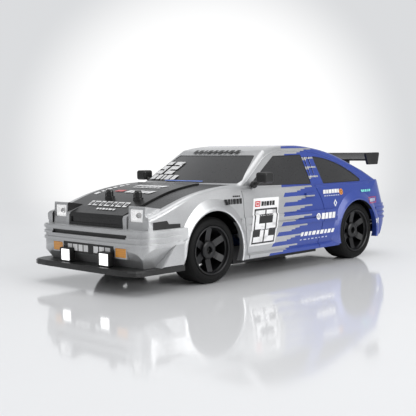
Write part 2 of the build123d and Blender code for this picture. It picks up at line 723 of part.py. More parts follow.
def rim(driven):
    """A left rim about the X axis. Driven rims have a hex socket, the others turn on a stub axle."""
    barrel = revolve(make_face(Polyline(
        (30.6, 13.4), (30.6, RIM_RADIUS - SMALL), (47.8, RIM_RADIUS - SMALL), (47.8, 14.3),
        (46.6, 13.9), (45.8, 13.4), close=True,
    )), axis=Axis.X)
    solid = barrel
    for n in range(SPOKES):
        solid = solid + Rot(360 * n / SPOKES, 0, 0) * spoke()
    solid = solid + rod_x(4.5, 36.0, HUB_FACE, 0, 0) + rod_x(6.0, 33.5 if driven else 34.0, 41.0, 0, 0)
    solid = solid - rod_x(2.1, 42.4, 50, 0, 0)
    if driven:
        hexagon = Plane.YZ * RegularPolygon(HEX_FLATS / 2 + 0.05, 6, major_radius=False)
        solid = solid - Pos(33, 0, 0) * extrude(hexagon, amount=6.0, dir=(1, 0, 0))
        return solid - rod_x(2.03, 38, 41.2, 0, 0) - rod_x(1.1, 41, 43, 0, 0)
    return solid - rod_x(1.56, 33, 41.6, 0, 0) - rod_x(1.1, 41, 43, 0, 0)


def at_axle(shape, side, axle_y):
    """Puts a left-hand wheel piece on its axle, mirrored for the right."""
    chosen = shape if side > 0 else mirrored(shape)
    return Pos(0, axle_y, AXLE_Z) * chosen


def hex_hub():
    """The left hex adaptor that drives a rear rim."""
    hexagon = Plane.YZ * RegularPolygon(HEX_FLATS / 2, 6, major_radius=False)
    drive = Pos(33.5, 0, 0) * extrude(hexagon, amount=5.3, dir=(1, 0, 0))
    return drive + rod_x(4.2, 30.0, 33.5, 0, 0) - rod_x(2.0, 29, 40, 0, 0)


def wheel_screw(shank_radius, head_from):
    """A recessed hub screw with a cross slot."""
    head = rod_x(1.8, head_from, head_from + 1.3, 0, 0)
    shank = rod_x(shank_radius, 36.5, head_from, 0, 0)
    slot = box(head_from + 0.7, head_from + 2, -1.2, 1.2, -0.25, 0.25)
    return head + shank - slot - Rot(90, 0, 0) * slot


# ---------------------------------------------------------------- drive train
def gear(teeth, x0, x1, y, z, bore, phase):
    """A spur gear about X. phase turns the first tooth from +Y, in degrees."""
    pitch = MODULE * teeth / 2
    root, tip = pitch - 1.25 * MODULE, pitch + 0.95 * MODULE
    step = 2 * pi / teeth
    points = []
    for n in range(teeth):
        rising = [(-0.31, root), (-0.21, pitch), (-0.10, tip)]
        falling = [(0.10, tip), (0.21, pitch), (0.31, root)]
        for share, radius in rising + falling:
            angle = radians(phase) + (n + share) * step
            points.append((radius * cos(angle), radius * sin(angle)))
    outline = Plane.YZ * make_face(Polyline(*points, close=True))
    wheel = Pos(x0, y, z) * extrude(outline, amount=x1 - x0, dir=(1, 0, 0))
    return wheel - rod_x(bore, x0 - 1, x1 + 1, y, z)


def spur_gear():
    """The large gear on the rear axle, lightened by five holes."""
    wheel = gear(SPUR_TEETH, 6.8, 11.2, REAR_AXLE, AXLE_Z, 2.0, 0)
    for n in range(5):
        hole = Rot(72 * n, 0, 0) * rod_x(1.4, 5, 13, 5.2, 0)
        wheel = wheel - Pos(0, REAR_AXLE, AXLE_Z) * hole
    return wheel


def motor_pinion():
    """The small gear on the motor shaft."""
    return gear(PINION_TEETH, 6.5, 11.5, MOTOR_Y, AXLE_Z, 1.0, 180 / PINION_TEETH)


def rear_axle():
    """The driven shaft, bored at both ends for the wheel screws."""
    shaft = rod_x(2.0, -41.0, 41.0, REAR_AXLE, AXLE_Z)
    for side in (-1, 1):
        shaft = shaft - rod_x(0.9, side * 36.5, side * 42, REAR_AXLE, AXLE_Z)
    return shaft


def axle_bearing(side):
    """A 4 x 8 x 3 bearing with a running fit on the axle."""
    ring = rod_x(4.0, side * 21.5, side * 24.5, REAR_AXLE, AXLE_Z)
    return ring - rod_x(2.03, side * 21, side * 25, REAR_AXLE, AXLE_Z)


MOTOR_RADIUS = 10.0
MOTOR_HALF_FLATS = 7.5


def motor_volume(extra, x0, x1):
    """The motor's round can with two flats, grown a little."""
    can = rod_x(MOTOR_RADIUS + extra, x0, x1, MOTOR_Y, AXLE_Z)
    half = MOTOR_HALF_FLATS + extra
    return can & box(x0, x1, MOTOR_Y - half, MOTOR_Y + half, 0, 60)


def motor_can():
    """The motor's steel can with its front boss."""
    can = motor_volume(0, -22.0, 2.0) + rod_x(3.0, 2.0, 3.4, MOTOR_Y, AXLE_Z)
    return can - rod_x(6.7, -22.5, 1.0, MOTOR_Y, AXLE_Z) - rod_x(1.04, 0, 5, MOTOR_Y, AXLE_Z)


def motor_end_cap():
    """The plastic cap that closes the can."""
    cap = motor_volume(0, -24.0, -22.0) + rod_x(3.0, -25.2, -24.0, MOTOR_Y, AXLE_Z)
    return cap - rod_x(1.04, -23.9, -21, MOTOR_Y, AXLE_Z)


def motor_shaft():
    """The armature on its shaft."""
    return rod_x(1.0, -23.6, 12.0, MOTOR_Y, AXLE_Z) + rod_x(5.9, -20.0, -2.0, MOTOR_Y, AXLE_Z)


GEARBOX_Y = (50.5, 87.5)
GEARBOX_SCREWS = ((-24.6, 84.6), (24.6, 84.6), (-24.6, 53.2), (24.6, 53.2))


def gearbox_cavities():
    """Motor bay, gear space, bearing seats, axle tunnel and screw holes."""
    cuts = [
        motor_volume(0.1, -30, 2.05),
        rod_x(3.2, 2.0, 6.0, MOTOR_Y, AXLE_Z),
        rod_x(10.2, 5.8, 12.2, REAR_AXLE, AXLE_Z),
        rod_x(4.4, 5.8, 13.0, MOTOR_Y, AXLE_Z),
        rod_x(2.5, -40, 40, REAR_AXLE, AXLE_Z),
    ]
    cuts += [rod_x(4.0, side * 21.5, side * 24.5, REAR_AXLE, AXLE_Z) for side in (-1, 1)]
    cuts += [rod_z(1.0, 13.0, 40, x, y) for x, y in GEARBOX_SCREWS]
    return cuts


def gearbox_lower():
    """The lower half of the gearbox, on the tub's floor."""
    block = box(-REAR_TUB_HALF, REAR_TUB_HALF, *GEARBOX_Y, FLOOR_TOP, AXLE_Z)
    block = chamfer(block.edges().filter_by(Axis.Z), 1.5)
    return block - gearbox_cavities()


def gearbox_cover():
    """The upper half: a flange with domes over the motor, the gears and the bearings."""
    flange = box(-REAR_TUB_HALF, REAR_TUB_HALF, *GEARBOX_Y, AXLE_Z, 23.5)
    flange = chamfer(flange.edges().filter_by(Axis.Z), 1.5)
    domes = rod_x(11.3, -27, 5.8, MOTOR_Y, AXLE_Z) + rod_x(11.4, 4.4, 13.6, REAR_AXLE, AXLE_Z)
    for side in (-1, 1):
        domes = domes + rod_x(5.8, side * 20, side * 26.4, REAR_AXLE, AXLE_Z)
    domes = domes & box(-REAR_TUB_HALF, REAR_TUB_HALF, *GEARBOX_Y, AXLE_Z, 60)
    heads = [rod_z(2.2, 23.5, 40, x, y) for x, y in GEARBOX_SCREWS]
    return flange + domes - gearbox_cavities() - heads


# ---------------------------------------------------------------- steering
LINK_SLOT = (-66.7, -60.8)      # front and rear ends of the link's eyes
SLOT_HALF = 1.7
LINK_Z = (24.3, 26.3)
HORN_Z = (27.0, 28.6)
PIN_X = KINGPIN_X - PIN_INSET


def front_beam():
    """The cross beam that carries both kingpins between a lower and an upper arm."""
    block = box(-16, 16, -79, -71, FLOOR_TOP, 30.0) - box(-9, 9, -80, -70, 14, 26)
    for side in (-1, 1):
        for low, high in ((11.0, 14.0), (27.0, 30.0)):
            block = block + box(side * 16, side * KINGPIN_X, -79, -71, low, high)
            block = block + rod_z(4.0, low, high, side * KINGPIN_X, FRONT_AXLE)
        block = block - rod_z(1.5, 9, 40, side * KINGPIN_X, FRONT_AXLE)
        block = block - rod_z(1.0, 24.0, 40, side * 12, FRONT_AXLE)
    return block


def kingpin(side):
    """The headed pin that one knuckle turns on."""
    pin = rod_z(1.5, 10.6, 30.0, side * KINGPIN_X, FRONT_AXLE)
    return pin + rod_z(2.4, 30.0, 31.0, side * KINGPIN_X, FRONT_AXLE)


def knuckle():
    """The left knuckle with its stub axle, collar, steering arm and link pin."""
    hub = rod_z(3.6, 14.3, 26.7, KINGPIN_X, FRONT_AXLE) + box(27, 30.4, -78.2, -71.8, 16.2, 24.8)
    stub = rod_x(1.5, 30, 41.4, FRONT_AXLE, AXLE_Z) + rod_x(2.6, 30.4, 33.7, FRONT_AXLE, AXLE_Z)
    arm_outline = [(29.2, -73), (24.6, -73), (22.4, -64), (22.4, -60.9), (25.6, -60.9), (25.6, -64)]
    arm = plan_prism(arm_outline, 21.0, 23.8)
    pin = rod_z(1.0, 23.8, 26.9, PIN_X, LINK_Y)
    solid = hub + stub + arm + pin
    solid = solid - rod_z(1.55, 10, 30, KINGPIN_X, FRONT_AXLE)
    return solid - rod_x(0.9, 36.5, 42, FRONT_AXLE, AXLE_Z)


def steering_link():
    """The cross link. Its eyes are slots, so the pins can swing while the link only slides."""
    bar = box(-26.7, 26.7, -68.4, -59.5, *LINK_Z) - box(-20.5, 20.5, -70, -65.2, 20, 30)
    bar = bar - box(6.5, 20.5, -61.0, -50, 20, 30) - box(-20.5, -6.5, -61.0, -50, 20, 30)
    bar = bar + box(-5.0, 5.0, -65.2, -58.2, *LINK_Z)
    y0, y1 = LINK_SLOT
    for side in (-1, 1):
        bar = bar - box(side * PIN_X - SLOT_HALF, side * PIN_X + SLOT_HALF, y0, y1, 20, 30)
    return bar - box(-1.5, 1.5, -63.9, -59.6, 20, 30)


SERVO_TOP = 25.4


def servo():
    """A small servo with mounting ears and an output boss."""
    case = box(-6, 6, -54.5, -31.5, FLOOR_TOP, SERVO_TOP)
    case = fillet(case.edges().filter_by(Axis.Z), 0.8)
    ears = box(-6, 6, -57.0, -29.0, 19.5, 21.2) - [rod_z(1.0, 18, 23, 0, y) for y in (-55.9, -30.1)]
    boss = rod_z(4.6, SERVO_TOP, 26.2, 0, HORN_Y)
    return case + ears + boss - rod_z(1.53, 22, 30, 0, HORN_Y)


def servo_horn():
    """The horn, its output spline and the pin that drives the link."""
    low, high = HORN_Z
    tip_y = LINK_Y - 1.6
    arm = plan_prism([(-2.8, HORN_Y), (2.8, HORN_Y), (1.8, tip_y), (-1.8, tip_y)], low, high)
    hub = rod_z(3.0, low, high + 1.0, 0, HORN_Y)
    spline = rod_z(1.5, 22.3, low, 0, HORN_Y)
    return arm + hub + spline + rod_z(1.0, 24.0, low, 0, LINK_Y)


# ---------------------------------------------------------------- chassis
SWITCH_SLOT = (-17.8, -12.2, 27.2, 30.8)


def chassis_tub():
    """The floor pan with low walls, wider between the axles than between the wheels."""
    half = [
        (15.0, -109.5), (SPINE_HALF, -106.5), (SPINE_HALF, -47.0), (TUB_HALF, -44.0), (TUB_HALF, 43.0),
        (REAR_TUB_HALF, 47.0), (REAR_TUB_HALF, 92.0), (24.0, 112.0),
    ]
    outline = half + [(-x, y) for x, y in reversed(half)]
    floor = plan_prism(outline, FLOOR_BOTTOM, FLOOR_TOP)
    inside = TUB_HALF - TUB_WALL
    tray = box(-inside, inside, -44 + TUB_WALL, 43 - TUB_WALL, FLOOR_TOP, TUB_WALL_TOP)
    walls = box(-TUB_HALF, TUB_HALF, -44, 43, FLOOR_TOP, TUB_WALL_TOP) - tray
    gaps = [box(-14, 14, -50, -40, FLOOR_TOP, 30), box(-24, 24, 30, 50, FLOOR_TOP, 30)]
    tub = floor + (walls - gaps)
    for side in (-1, 1):
        tub = tub + box(side * 16.6, side * 18, -106.5, -80.5, FLOOR_TOP, 12.0)
        tub = tub + box(side * 25.4, side * 27, 89, 92, FLOOR_TOP, 15)
    for x in (-31.0, -11.0):
        for y in (-21.0, 13.0):
            tub = tub + rod_z(1.6, FLOOR_TOP, 12.5, x, y)
    tub = tub + box(3.6, 5.2, -28, 20.8, FLOOR_TOP, 15) + box(5.2, 34.4, 19.2, 20.8, FLOOR_TOP, 15)
    return tub - box(*SWITCH_SLOT, FLOOR_BOTTOM - 1, FLOOR_TOP + 1)


def front_posts():
    """The bridge with the two posts that the bonnet studs go down into."""
    bridge = box(-16.5, 16.5, -107.9, -100.4, FLOOR_TOP, 12.5)
    for side in (-1, 1):
        x = side * STUD_X
        bridge = bridge + rod_z(3.0, 12.5, 49.0, x, STUD_Y) + rod_z(3.9, 12.5, 18.0, x, STUD_Y)
        bridge = bridge - rod_z(1.9, 40.0, 50, x, STUD_Y)
    return bridge


REST_TOP = 55.6                # rear rests, just under the tail deck


def rear_posts():
    """The rear bridge with two rests under the tail deck."""
    bridge = box(-23, 23, 95, 103, FLOOR_TOP, 12.5)
    for side in (-1, 1):
        bridge = bridge + rod_z(3.0, 12.5, REST_TOP, side * 19, 99)
        bridge = bridge + rod_z(3.9, 12.5, 18.0, side * 19, 99)
    return bridge


def battery_pack():
    """Two round cells side by side in one wrap."""
    pack = box(6.0, 34.0, -34.5, 18.5, FLOOR_TOP, 23.5)
    return fillet(pack.edges().filter_by(Axis.Y), 6.5)


def control_board():
    """The receiver and speed control board with its larger components."""
    board = box(-33.0, -9.0, -23.0, 15.0, 12.5, 14.1)
    chips = [
        box(-29.0, -21.0, -18.0, -10.0, 14.1, 15.5), box(-30.0, -16.0, 4.0, 12.0, 14.1, 20.0),
        box(-17.0, -11.5, -20.0, -12.0, 14.1, 19.0), rod_z(2.5, 14.1, 21.0, -14.5, -4.0),
        rod_z(2.5, 14.1, 21.0, -20.5, -4.0),
    ]
    return [board] + chips


def power_switch():
    """The switch case over its slot in the floor."""
    x0, x1, y0, y1 = SWITCH_SLOT
    case = box(x0 - 3, x1 + 3, y0 - 1.4, y1 + 1.4, FLOOR_TOP, 14.5)
    return case - box(x0, x1, y0, y1, FLOOR_TOP - 1, 12.6)


def switch_slider():
    """The slider that pokes out under the floor."""
    x0, _, y0, y1 = SWITCH_SLOT
    return box(x0 + 0.4, x0 + 3.2, y0 + 0.3, y1 - 0.3, 6.5, 12.2)


def chassis_screws():
    """Gearbox and beam screws, all the same pan head."""
    screws = []
    for x, y in GEARBOX_SCREWS:
        screws.append(rod_z(1.0, 13.0, 23.5, x, y) + rod_z(2.0, 23.5, 24.7, x, y))
    for x in (-12, 12):
        screws.append(rod_z(1.0, 24.0, 30.0, x, FRONT_AXLE) + rod_z(2.0, 30.0, 31.2, x, FRONT_AXLE))
    return screws


# ---------------------------------------------------------------- nodes
def save_body():
    """Every piece that lifts off with the shell."""
    body = lower_body(soft_edges=True)
    core = lower_body(-SHELL_WALL)
    skin_core = lower_body(-0.5)
    shell = body_shell(body, core, skin_core)
    save("body_shell", shell)
    save("bonnet", bonnet(body))
    save("grille_panel", grille_panel())
    skin = glass_skin()
    save("windscreen", skin & screen_glass_prism())
    save("hatch_window", skin & hatch_glass_prism())
    save("door_windows", *both(skin & door_glass_prism()))
    save("quarter_windows", *both(skin & quarter_glass_prism()))
    save("headlamp_housings", *both(headlamp_housing()))
    save("headlamp_reflectors", *both(headlamp_reflector()))
    save("headlamp_leds", *both(headlamp_led()))
    save("bumper_vent", bumper_vent())
    save("indicators", *both(indicator()))
    save("bumper_plate", bumper_plate())
    save("fog_lamp_cases", *both(fog_lamp_case()))
    save("fog_lamp_lenses", *both(fog_lamp_lens()))
    save("splitter", splitter())
    save("side_markers", *[marker - body for marker in both(side_marker(body))])
    save("door_mirrors", *both(door_mirror(body)))
    save("mirror_glasses", *both(mirror_glass()))
    save("wing_blade", wing_blade())
    save("wing_end_plates", *both(wing_end_plate()))
    save("wing_struts", *both(wing_strut([body, softened_cabin()])))
    save("tail_lamps", *both(tail_lamp(body, skin_core)))
    save("bonnet_stud_left", bonnet_stud(STUD_X))
    save("bonnet_stud_right", bonnet_stud(-STUD_X))


def save_wheels():
    """Four wheels: each a rim and a tyre."""
    for end, axle_y, driven in (("front", FRONT_AXLE, False), ("rear", REAR_AXLE, True)):
        for name, side in (("left", 1), ("right", -1)):
            save(f"tyre_{end}_{name}", at_axle(tyre(), side, axle_y))
            save(f"rim_{end}_{name}", at_axle(rim(driven), side, axle_y))


def save_drive():
    """Motor, gears, axle and gearbox."""
    save("motor_can", motor_can())
    save("motor_end_cap", motor_end_cap())
    save("motor_shaft", motor_shaft())
    save("motor_pinion", motor_pinion())
    save("spur_gear", spur_gear())
    save("rear_axle", rear_axle())
    save("rear_axle_bearings", axle_bearing(-1), axle_bearing(1))
    save("rear_hex_hubs", *[at_axle(hex_hub(), side, REAR_AXLE) for side in (1, -1)])
    save("rear_wheel_screws", *[at_axle(wheel_screw(0.9, 42.4), side, REAR_AXLE) for side in (1, -1)])
    save("gearbox_lower", gearbox_lower())
    save("gearbox_cover", gearbox_cover())


def save_steering():
    """Front beam, knuckles, link, servo and horn."""
    save("front_beam", front_beam())
    save("kingpins", kingpin(-1), kingpin(1))
    save("knuckle_left", knuckle())
    save("knuckle_right", mirrored(knuckle()))
    save("wheel_screw_front_left", at_axle(wheel_screw(0.9, 42.6), 1, FRONT_AXLE))
    save("wheel_screw_front_right", at_axle(wheel_screw(0.9, 42.6), -1, FRONT_AXLE))
    save("steering_link", steering_link())
    save("servo", servo())
    save("servo_horn", servo_horn())


def save_chassis():
    """Tub, posts, electrics and screws."""
    save("chassis_tub", chassis_tub())
    save("body_posts", front_posts(), rear_posts())
    save("battery_pack", battery_pack())
    save("control_board", *control_board())
    save("power_switch", power_switch())
    save("switch_slider", switch_slider())
    save("chassis_screws", *chassis_screws())


if __name__ == "__main__":
    os.makedirs("parts", exist_ok=True)
    save_body()
    save_wheels()
    save_drive()
    save_steering()
    save_chassis()
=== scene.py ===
"""Looks of the remote control drift coupe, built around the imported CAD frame.

Places are in millimetres in the row frame: +X is the car's left, the nose faces -Y, +Z is up.
mm() turns them into Blender's metres.
"""

from math import cos, pi, radians, sin

import bmesh
import bpy
from mathutils import Matrix, Vector
from mathutils.bvhtree import BVHTree


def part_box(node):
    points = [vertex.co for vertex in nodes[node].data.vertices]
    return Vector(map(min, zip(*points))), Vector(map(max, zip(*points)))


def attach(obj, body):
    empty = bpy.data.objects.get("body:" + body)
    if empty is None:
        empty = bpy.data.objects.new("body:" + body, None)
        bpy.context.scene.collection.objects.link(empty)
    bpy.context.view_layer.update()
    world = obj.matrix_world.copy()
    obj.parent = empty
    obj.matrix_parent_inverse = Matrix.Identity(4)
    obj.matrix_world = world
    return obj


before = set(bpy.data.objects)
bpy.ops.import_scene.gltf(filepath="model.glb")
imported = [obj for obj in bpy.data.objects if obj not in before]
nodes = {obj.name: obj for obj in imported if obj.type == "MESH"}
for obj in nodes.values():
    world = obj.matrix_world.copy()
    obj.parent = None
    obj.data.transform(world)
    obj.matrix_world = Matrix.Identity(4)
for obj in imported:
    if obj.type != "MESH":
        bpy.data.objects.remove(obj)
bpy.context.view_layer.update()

MM = 0.001
WHEELBASE = 150.0
AXLE_HEIGHT = 20.5
FRONT_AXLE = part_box("tyre_front_left")[0].y / MM + AXLE_HEIGHT
REAR_AXLE = FRONT_AXLE + WHEELBASE
MIDDLE = (FRONT_AXLE + REAR_AXLE) / 2      # middle of the wheelbase along Y


def mm(x, y, z):
    """A point given in millimetres, in Blender's metres."""
    return Vector((x, y, z)) * MM


# ---------------------------------------------------------------- camera, floor and light
def build_camera():
    """A low three-quarter front view from a long lens, as in the photograph."""
    azimuth = radians(44.923)
    elevation = radians(4.294)
    roll = radians(-0.901)
    distance = 679.56
    target = mm(-62.27, MIDDLE + 32.42, 35.05)
    back = Vector((sin(azimuth) * cos(elevation), -cos(azimuth) * cos(elevation), sin(elevation)))
    right = Vector((cos(azimuth), sin(azimuth), 0.0))
    up = back.cross(right)
    across = cos(roll) * right + sin(roll) * up
    upright = cos(roll) * up - sin(roll) * right
    data = bpy.data.cameras.new("camera")
    data.lens = 74.53
    data.sensor_width = 36.0
    data.clip_start = 0.01
    data.clip_end = 60.0
    camera = bpy.data.objects.new("camera", data)
    placing = Matrix((across, upright, back)).transposed().to_4x4()
    placing.translation = target + back * distance * MM
    camera.matrix_world = placing
    bpy.context.scene.collection.objects.link(camera)
    bpy.context.scene.camera = camera
    return camera.matrix_world.translation.copy(), back


def softbox(name, place, aim, width, height, watts):
    """A rectangular lamp that faces aim. Sizes in millimetres."""
    data = bpy.data.lights.new(name, "AREA")
    data.shape = "RECTANGLE"
    data.size = width * MM
    data.size_y = height * MM
    data.energy = watts
    lamp = bpy.data.objects.new(name, data)
    lamp.location = mm(*place)
    lamp.rotation_euler = (mm(*aim) - mm(*place)).to_track_quat("-Z", "Y").to_euler()
    bpy.context.scene.collection.objects.link(lamp)


def value_node(tree, kind, inputs=(), **settings):
    """A new node with its plain settings and its input sockets filled in order."""
    made = tree.nodes.new(kind)
    for key, value in settings.items():
        setattr(made, key, value)
    for n, value in enumerate(inputs):
        if isinstance(value, bpy.types.NodeSocket):
            tree.links.new(value, made.inputs[n])
        elif value is not None:
            made.inputs[n].default_value = value
    return made


def colour_mix(tree, share, first, second):
    """Colour between first, at share 0, and second, at share 1. The share is a socket."""
    made = value_node(tree, "ShaderNodeMix", data_type="RGBA")
    sockets = {s.identifier: s for s in made.inputs}
    for name, value in (("A_Color", first), ("B_Color", second)):
        if isinstance(value, bpy.types.NodeSocket):
            tree.links.new(value, sockets[name])
        else:
            sockets[name].default_value = (*value, 1.0)
    tree.links.new(share, sockets["Factor_Float"])
    return next(s for s in made.outputs if s.identifier == "Result_Color")


class Shader:
    """A node material that is wired up one call at a time."""

    def __init__(self, name, **settings):
        self.material = bpy.data.materials.new(name)
        self.material.use_nodes = True
        self.tree = self.material.node_tree
        self.surface = self.tree.nodes["Principled BSDF"]
        for key, value in settings.items():
            self.set(key, value)

    def set(self, socket, value):
        """Sets one socket of the surface, such as base_color or coat_weight, or links it."""
        target = self.surface.inputs[SOCKETS[socket]]
        if isinstance(value, bpy.types.NodeSocket):
            self.tree.links.new(value, target)
        elif socket in ("base_color", "emission_color"):
            target.default_value = (*value, 1.0)
        else:
            target.default_value = value

    def node(self, kind, inputs=(), **settings):
        """A new node of this material, as value_node makes it."""
        return value_node(self.tree, kind, inputs, **settings)

    def math(self, operation, *values):
        return self.node("ShaderNodeMath", values, operation=operation).outputs[0]

    def add(self, a, b):
        return self.math("ADD", a, b)

    def sub(self, a, b):
        return self.math("SUBTRACT", a, b)

    def mul(self, a, b):
        return self.math("MULTIPLY", a, b)

    def below(self, a, b):
        return self.math("LESS_THAN", a, b)

    def above(self, a, b):
        return self.math("GREATER_THAN", a, b)

    def place(self):
        """The point on the piece in the row frame, as x, y and z in millimetres, and as a vector."""
        source = self.node("ShaderNodeTexCoord").outputs["Object"]
        scaled = self.node("ShaderNodeVectorMath", (source,), operation="SCALE")
        scaled.inputs["Scale"].default_value = 1 / MM
        point = scaled.outputs[0]
        split = self.node("ShaderNodeSeparateXYZ", (point,))
        return split.outputs[0], split.outputs[1], split.outputs[2], point

    def noise(self, point, size, detail=2.0):
        """Soft noise from 0 to 1 whose lumps are about size millimetres wide."""
        made = self.node("ShaderNodeTexNoise", (point,))
        made.inputs["Scale"].default_value = 1 / size
        made.inputs["Detail"].default_value = detail
        return made.outputs["Fac"]

    def ramp(self, value, low, high, out_low, out_high):
        """value from low..high, clamped, on to out_low..out_high."""
        return self.node("ShaderNodeMapRange", (value, low, high, out_low, out_high)).outputs[0]

    def mix(self, share, first, second):
        """Colour between first, at share 0, and second, at share 1."""
        return colour_mix(self.tree, share, first, second)

    def bump(self, height, depth):
        """Bumps the surface by height, from 0 to 1, over depth millimetres."""
        made = self.node("ShaderNodeBump")
        made.inputs["Distance"].default_value = depth * MM
        made.inputs["Strength"].default_value = 1.0
        self.tree.links.new(height, made.inputs["Height"])
        self.tree.links.new(made.outputs[0], self.surface.inputs["Normal"])


SOCKETS = {
    "base_color": "Base Color", "metallic": "Metallic", "roughness": "Roughness", "ior": "IOR",
    "specular": "Specular IOR Level", "transmission": "Transmission Weight",
    "coat_weight": "Coat Weight", "coat_roughness": "Coat Roughness",
    "emission_color": "Emission Color", "emission_strength": "Emission Strength",
}


GLOW_WHITE = (1.06, 1.06, 1.06)    # backdrop behind the car
FAR_GREY = (0.71, 0.72, 0.735)     # backdrop further out
ROOM_GREY = (0.34, 0.345, 0.355)   # the rest of the room, behind the camera and beside it
GLOW_EDGE = 13.5                   # degrees from the view's middle where the white has faded
GLOW_CORE = 7.0                    # degrees within which it is full
ROOM_START = 60.0                  # degrees from the view's middle where the room is fully grey
ROOM_FADE = 26.0                   # degrees where the backdrop begins to darken
FLOOR_HALF = 12.0                  # metres from the car to the floor's edge
FLOOR_FADE = (240.0, 900.0)        # millimetres from the car over which the floor turns into backdrop


def backdrop_colour(tree, direction, glow_way):
    """The backdrop's colour in a direction: white in the middle, then pale, then a darker room."""
    facing = value_node(tree, "ShaderNodeVectorMath", (direction, tuple(glow_way)), operation="DOT_PRODUCT")
    aim = facing.outputs["Value"]

    def within(outer, inner):
        """0 outside the outer angle, 1 inside the inner one."""
        limits = (aim, cos(radians(outer)), cos(radians(inner)), 0.0, 1.0)
        return value_node(tree, "ShaderNodeMapRange", limits, interpolation_type="SMOOTHSTEP").outputs[0]

    glow = within(GLOW_EDGE, GLOW_CORE)
    near = within(ROOM_START, ROOM_FADE)
    return colour_mix(tree, glow, colour_mix(tree, near, ROOM_GREY, FAR_GREY), GLOW_WHITE)


def build_stage(eye, glow_way):
    """A pale glossy floor that turns into the backdrop in the distance, so no horizon shows."""
    mesh = bpy.data.meshes.new("floor")
    corners = [(a * FLOOR_HALF, b * FLOOR_HALF, 0) for a, b in ((-1, -1), (1, -1), (1, 1), (-1, 1))]
    mesh.from_pydata(corners, [], [(0, 1, 2, 3)])
    floor = bpy.data.objects.new("floor", mesh)
    bpy.context.scene.collection.objects.link(floor)
    paint = Shader("floor_lacquer", base_color=(0.86, 0.865, 0.875), ior=1.75)
    x, y, _, point = paint.place()
    paint.set("roughness", paint.ramp(paint.noise(point, 160.0), 0.3, 0.7, 0.06, 0.09))
    square = paint.add(paint.mul(x, x), paint.mul(y, y))
    far = paint.ramp(paint.math("SQRT", square), *FLOOR_FADE, 0.0, 1.0)
    tree = paint.tree
    metres = paint.node("ShaderNodeTexCoord").outputs["Object"]
    offset = paint.node("ShaderNodeVectorMath", (metres, tuple(eye)), operation="SUBTRACT").outputs[0]
    direction = paint.node("ShaderNodeVectorMath", (offset,), operation="NORMALIZE").outputs[0]
    glow = paint.node("ShaderNodeEmission")
    tree.links.new(backdrop_colour(tree, direction, glow_way), glow.inputs["Color"])
    blend = paint.node("ShaderNodeMixShader", (far, paint.surface.outputs[0], glow.outputs[0]))
    tree.links.new(blend.outputs[0], tree.nodes["Material Output"].inputs["Surface"])
    mesh.materials.append(paint.material)


def build_sky(glow_way):
    """The world: the same backdrop in every direction."""
    world = bpy.data.worlds.new("studio")
    bpy.context.scene.world = world
    world.use_nodes = True
    tree = world.node_tree
    direction = tree.nodes.new("ShaderNodeTexCoord").outputs["Generated"]
    background = tree.nodes["Background"]
    tree.links.new(backdrop_colour(tree, direction, glow_way), background.inputs["Color"])
    background.inputs["Strength"].default_value = 1.0


# ---------------------------------------------------------------- materials
BLUE = (0.032, 0.078, 0.40)
WHITE = (0.85, 0.85, 0.85)
STRIPE_TOP = 56.0              # height of the topmost long stripe on the door
STRIPE_PITCH = 6.42            # from one stripe to the next
STRIPE_REACH = MIDDLE + 24.0   # rear end of the long stripes
STRIPE_BOW = 0.5               # how fast the lower stripes get shorter
PILLAR_START = 58.4            # height above which the stripes reach further back
PILLAR_REACH = 10.0            # how much further
ROOF_EDGE = 38.0               # half width beyond which the pattern runs up the sides only
STRIPE_STEPS = ((0.17, 8.5), (0.31, 4.6), (0.45, 4.0))   # share of the pitch, and the step there
NOTCH_START = 0.58             # share of the pitch where the slanted notch begins


def livery(paint):
    """1 where the shell is blue and 0 where it is silver, as stepped stripes, and the point."""
    x, y, z, point = paint.place()
    girth = paint.add(z, paint.math("MAXIMUM", paint.sub(ROOF_EDGE, paint.math("ABSOLUTE", x)), 0.0))
    rows = paint.math("DIVIDE", paint.sub(STRIPE_TOP, girth), STRIPE_PITCH)
    row = paint.math("FLOOR", rows)
    down = paint.math("FRACT", rows)
    lower_rows = paint.math("MAXIMUM", row, 0.0)
    reach = paint.sub(STRIPE_REACH, paint.mul(STRIPE_BOW, paint.mul(lower_rows, lower_rows)))
    reach = paint.add(reach, paint.mul(paint.above(girth, PILLAR_START), PILLAR_REACH))
    for share, step in STRIPE_STEPS:
        reach = paint.sub(reach, paint.mul(paint.above(down, share), step))
    slant = paint.add(13.0, paint.mul(paint.sub(down, NOTCH_START), 5.0))
    reach = paint.sub(reach, paint.mul(paint.above(down, NOTCH_START), slant))
    return paint.above(y, reach), point


def inner_side(paint):
    """1 on faces that look inwards or down, which are bare black plastic, and 0 on painted ones."""
    x, y, _, _ = paint.place()
    facing = paint.node("ShaderNodeTexCoord").outputs["Normal"]
    parts = paint.node("ShaderNodeSeparateXYZ", (facing,)).outputs
    across = paint.mul(paint.math("SIGN", x), parts[0])
    along = paint.mul(paint.math("SIGN", paint.sub(y, MIDDLE)), parts[1])
    end_walls = paint.mul(paint.below(along, -0.5), paint.below(paint.math("ABSOLUTE", x), 45.0))
    inward = paint.math("MAXIMUM", paint.below(across, -0.3), end_walls)
    return paint.math("MAXIMUM", inward, paint.below(parts[2], -0.65))


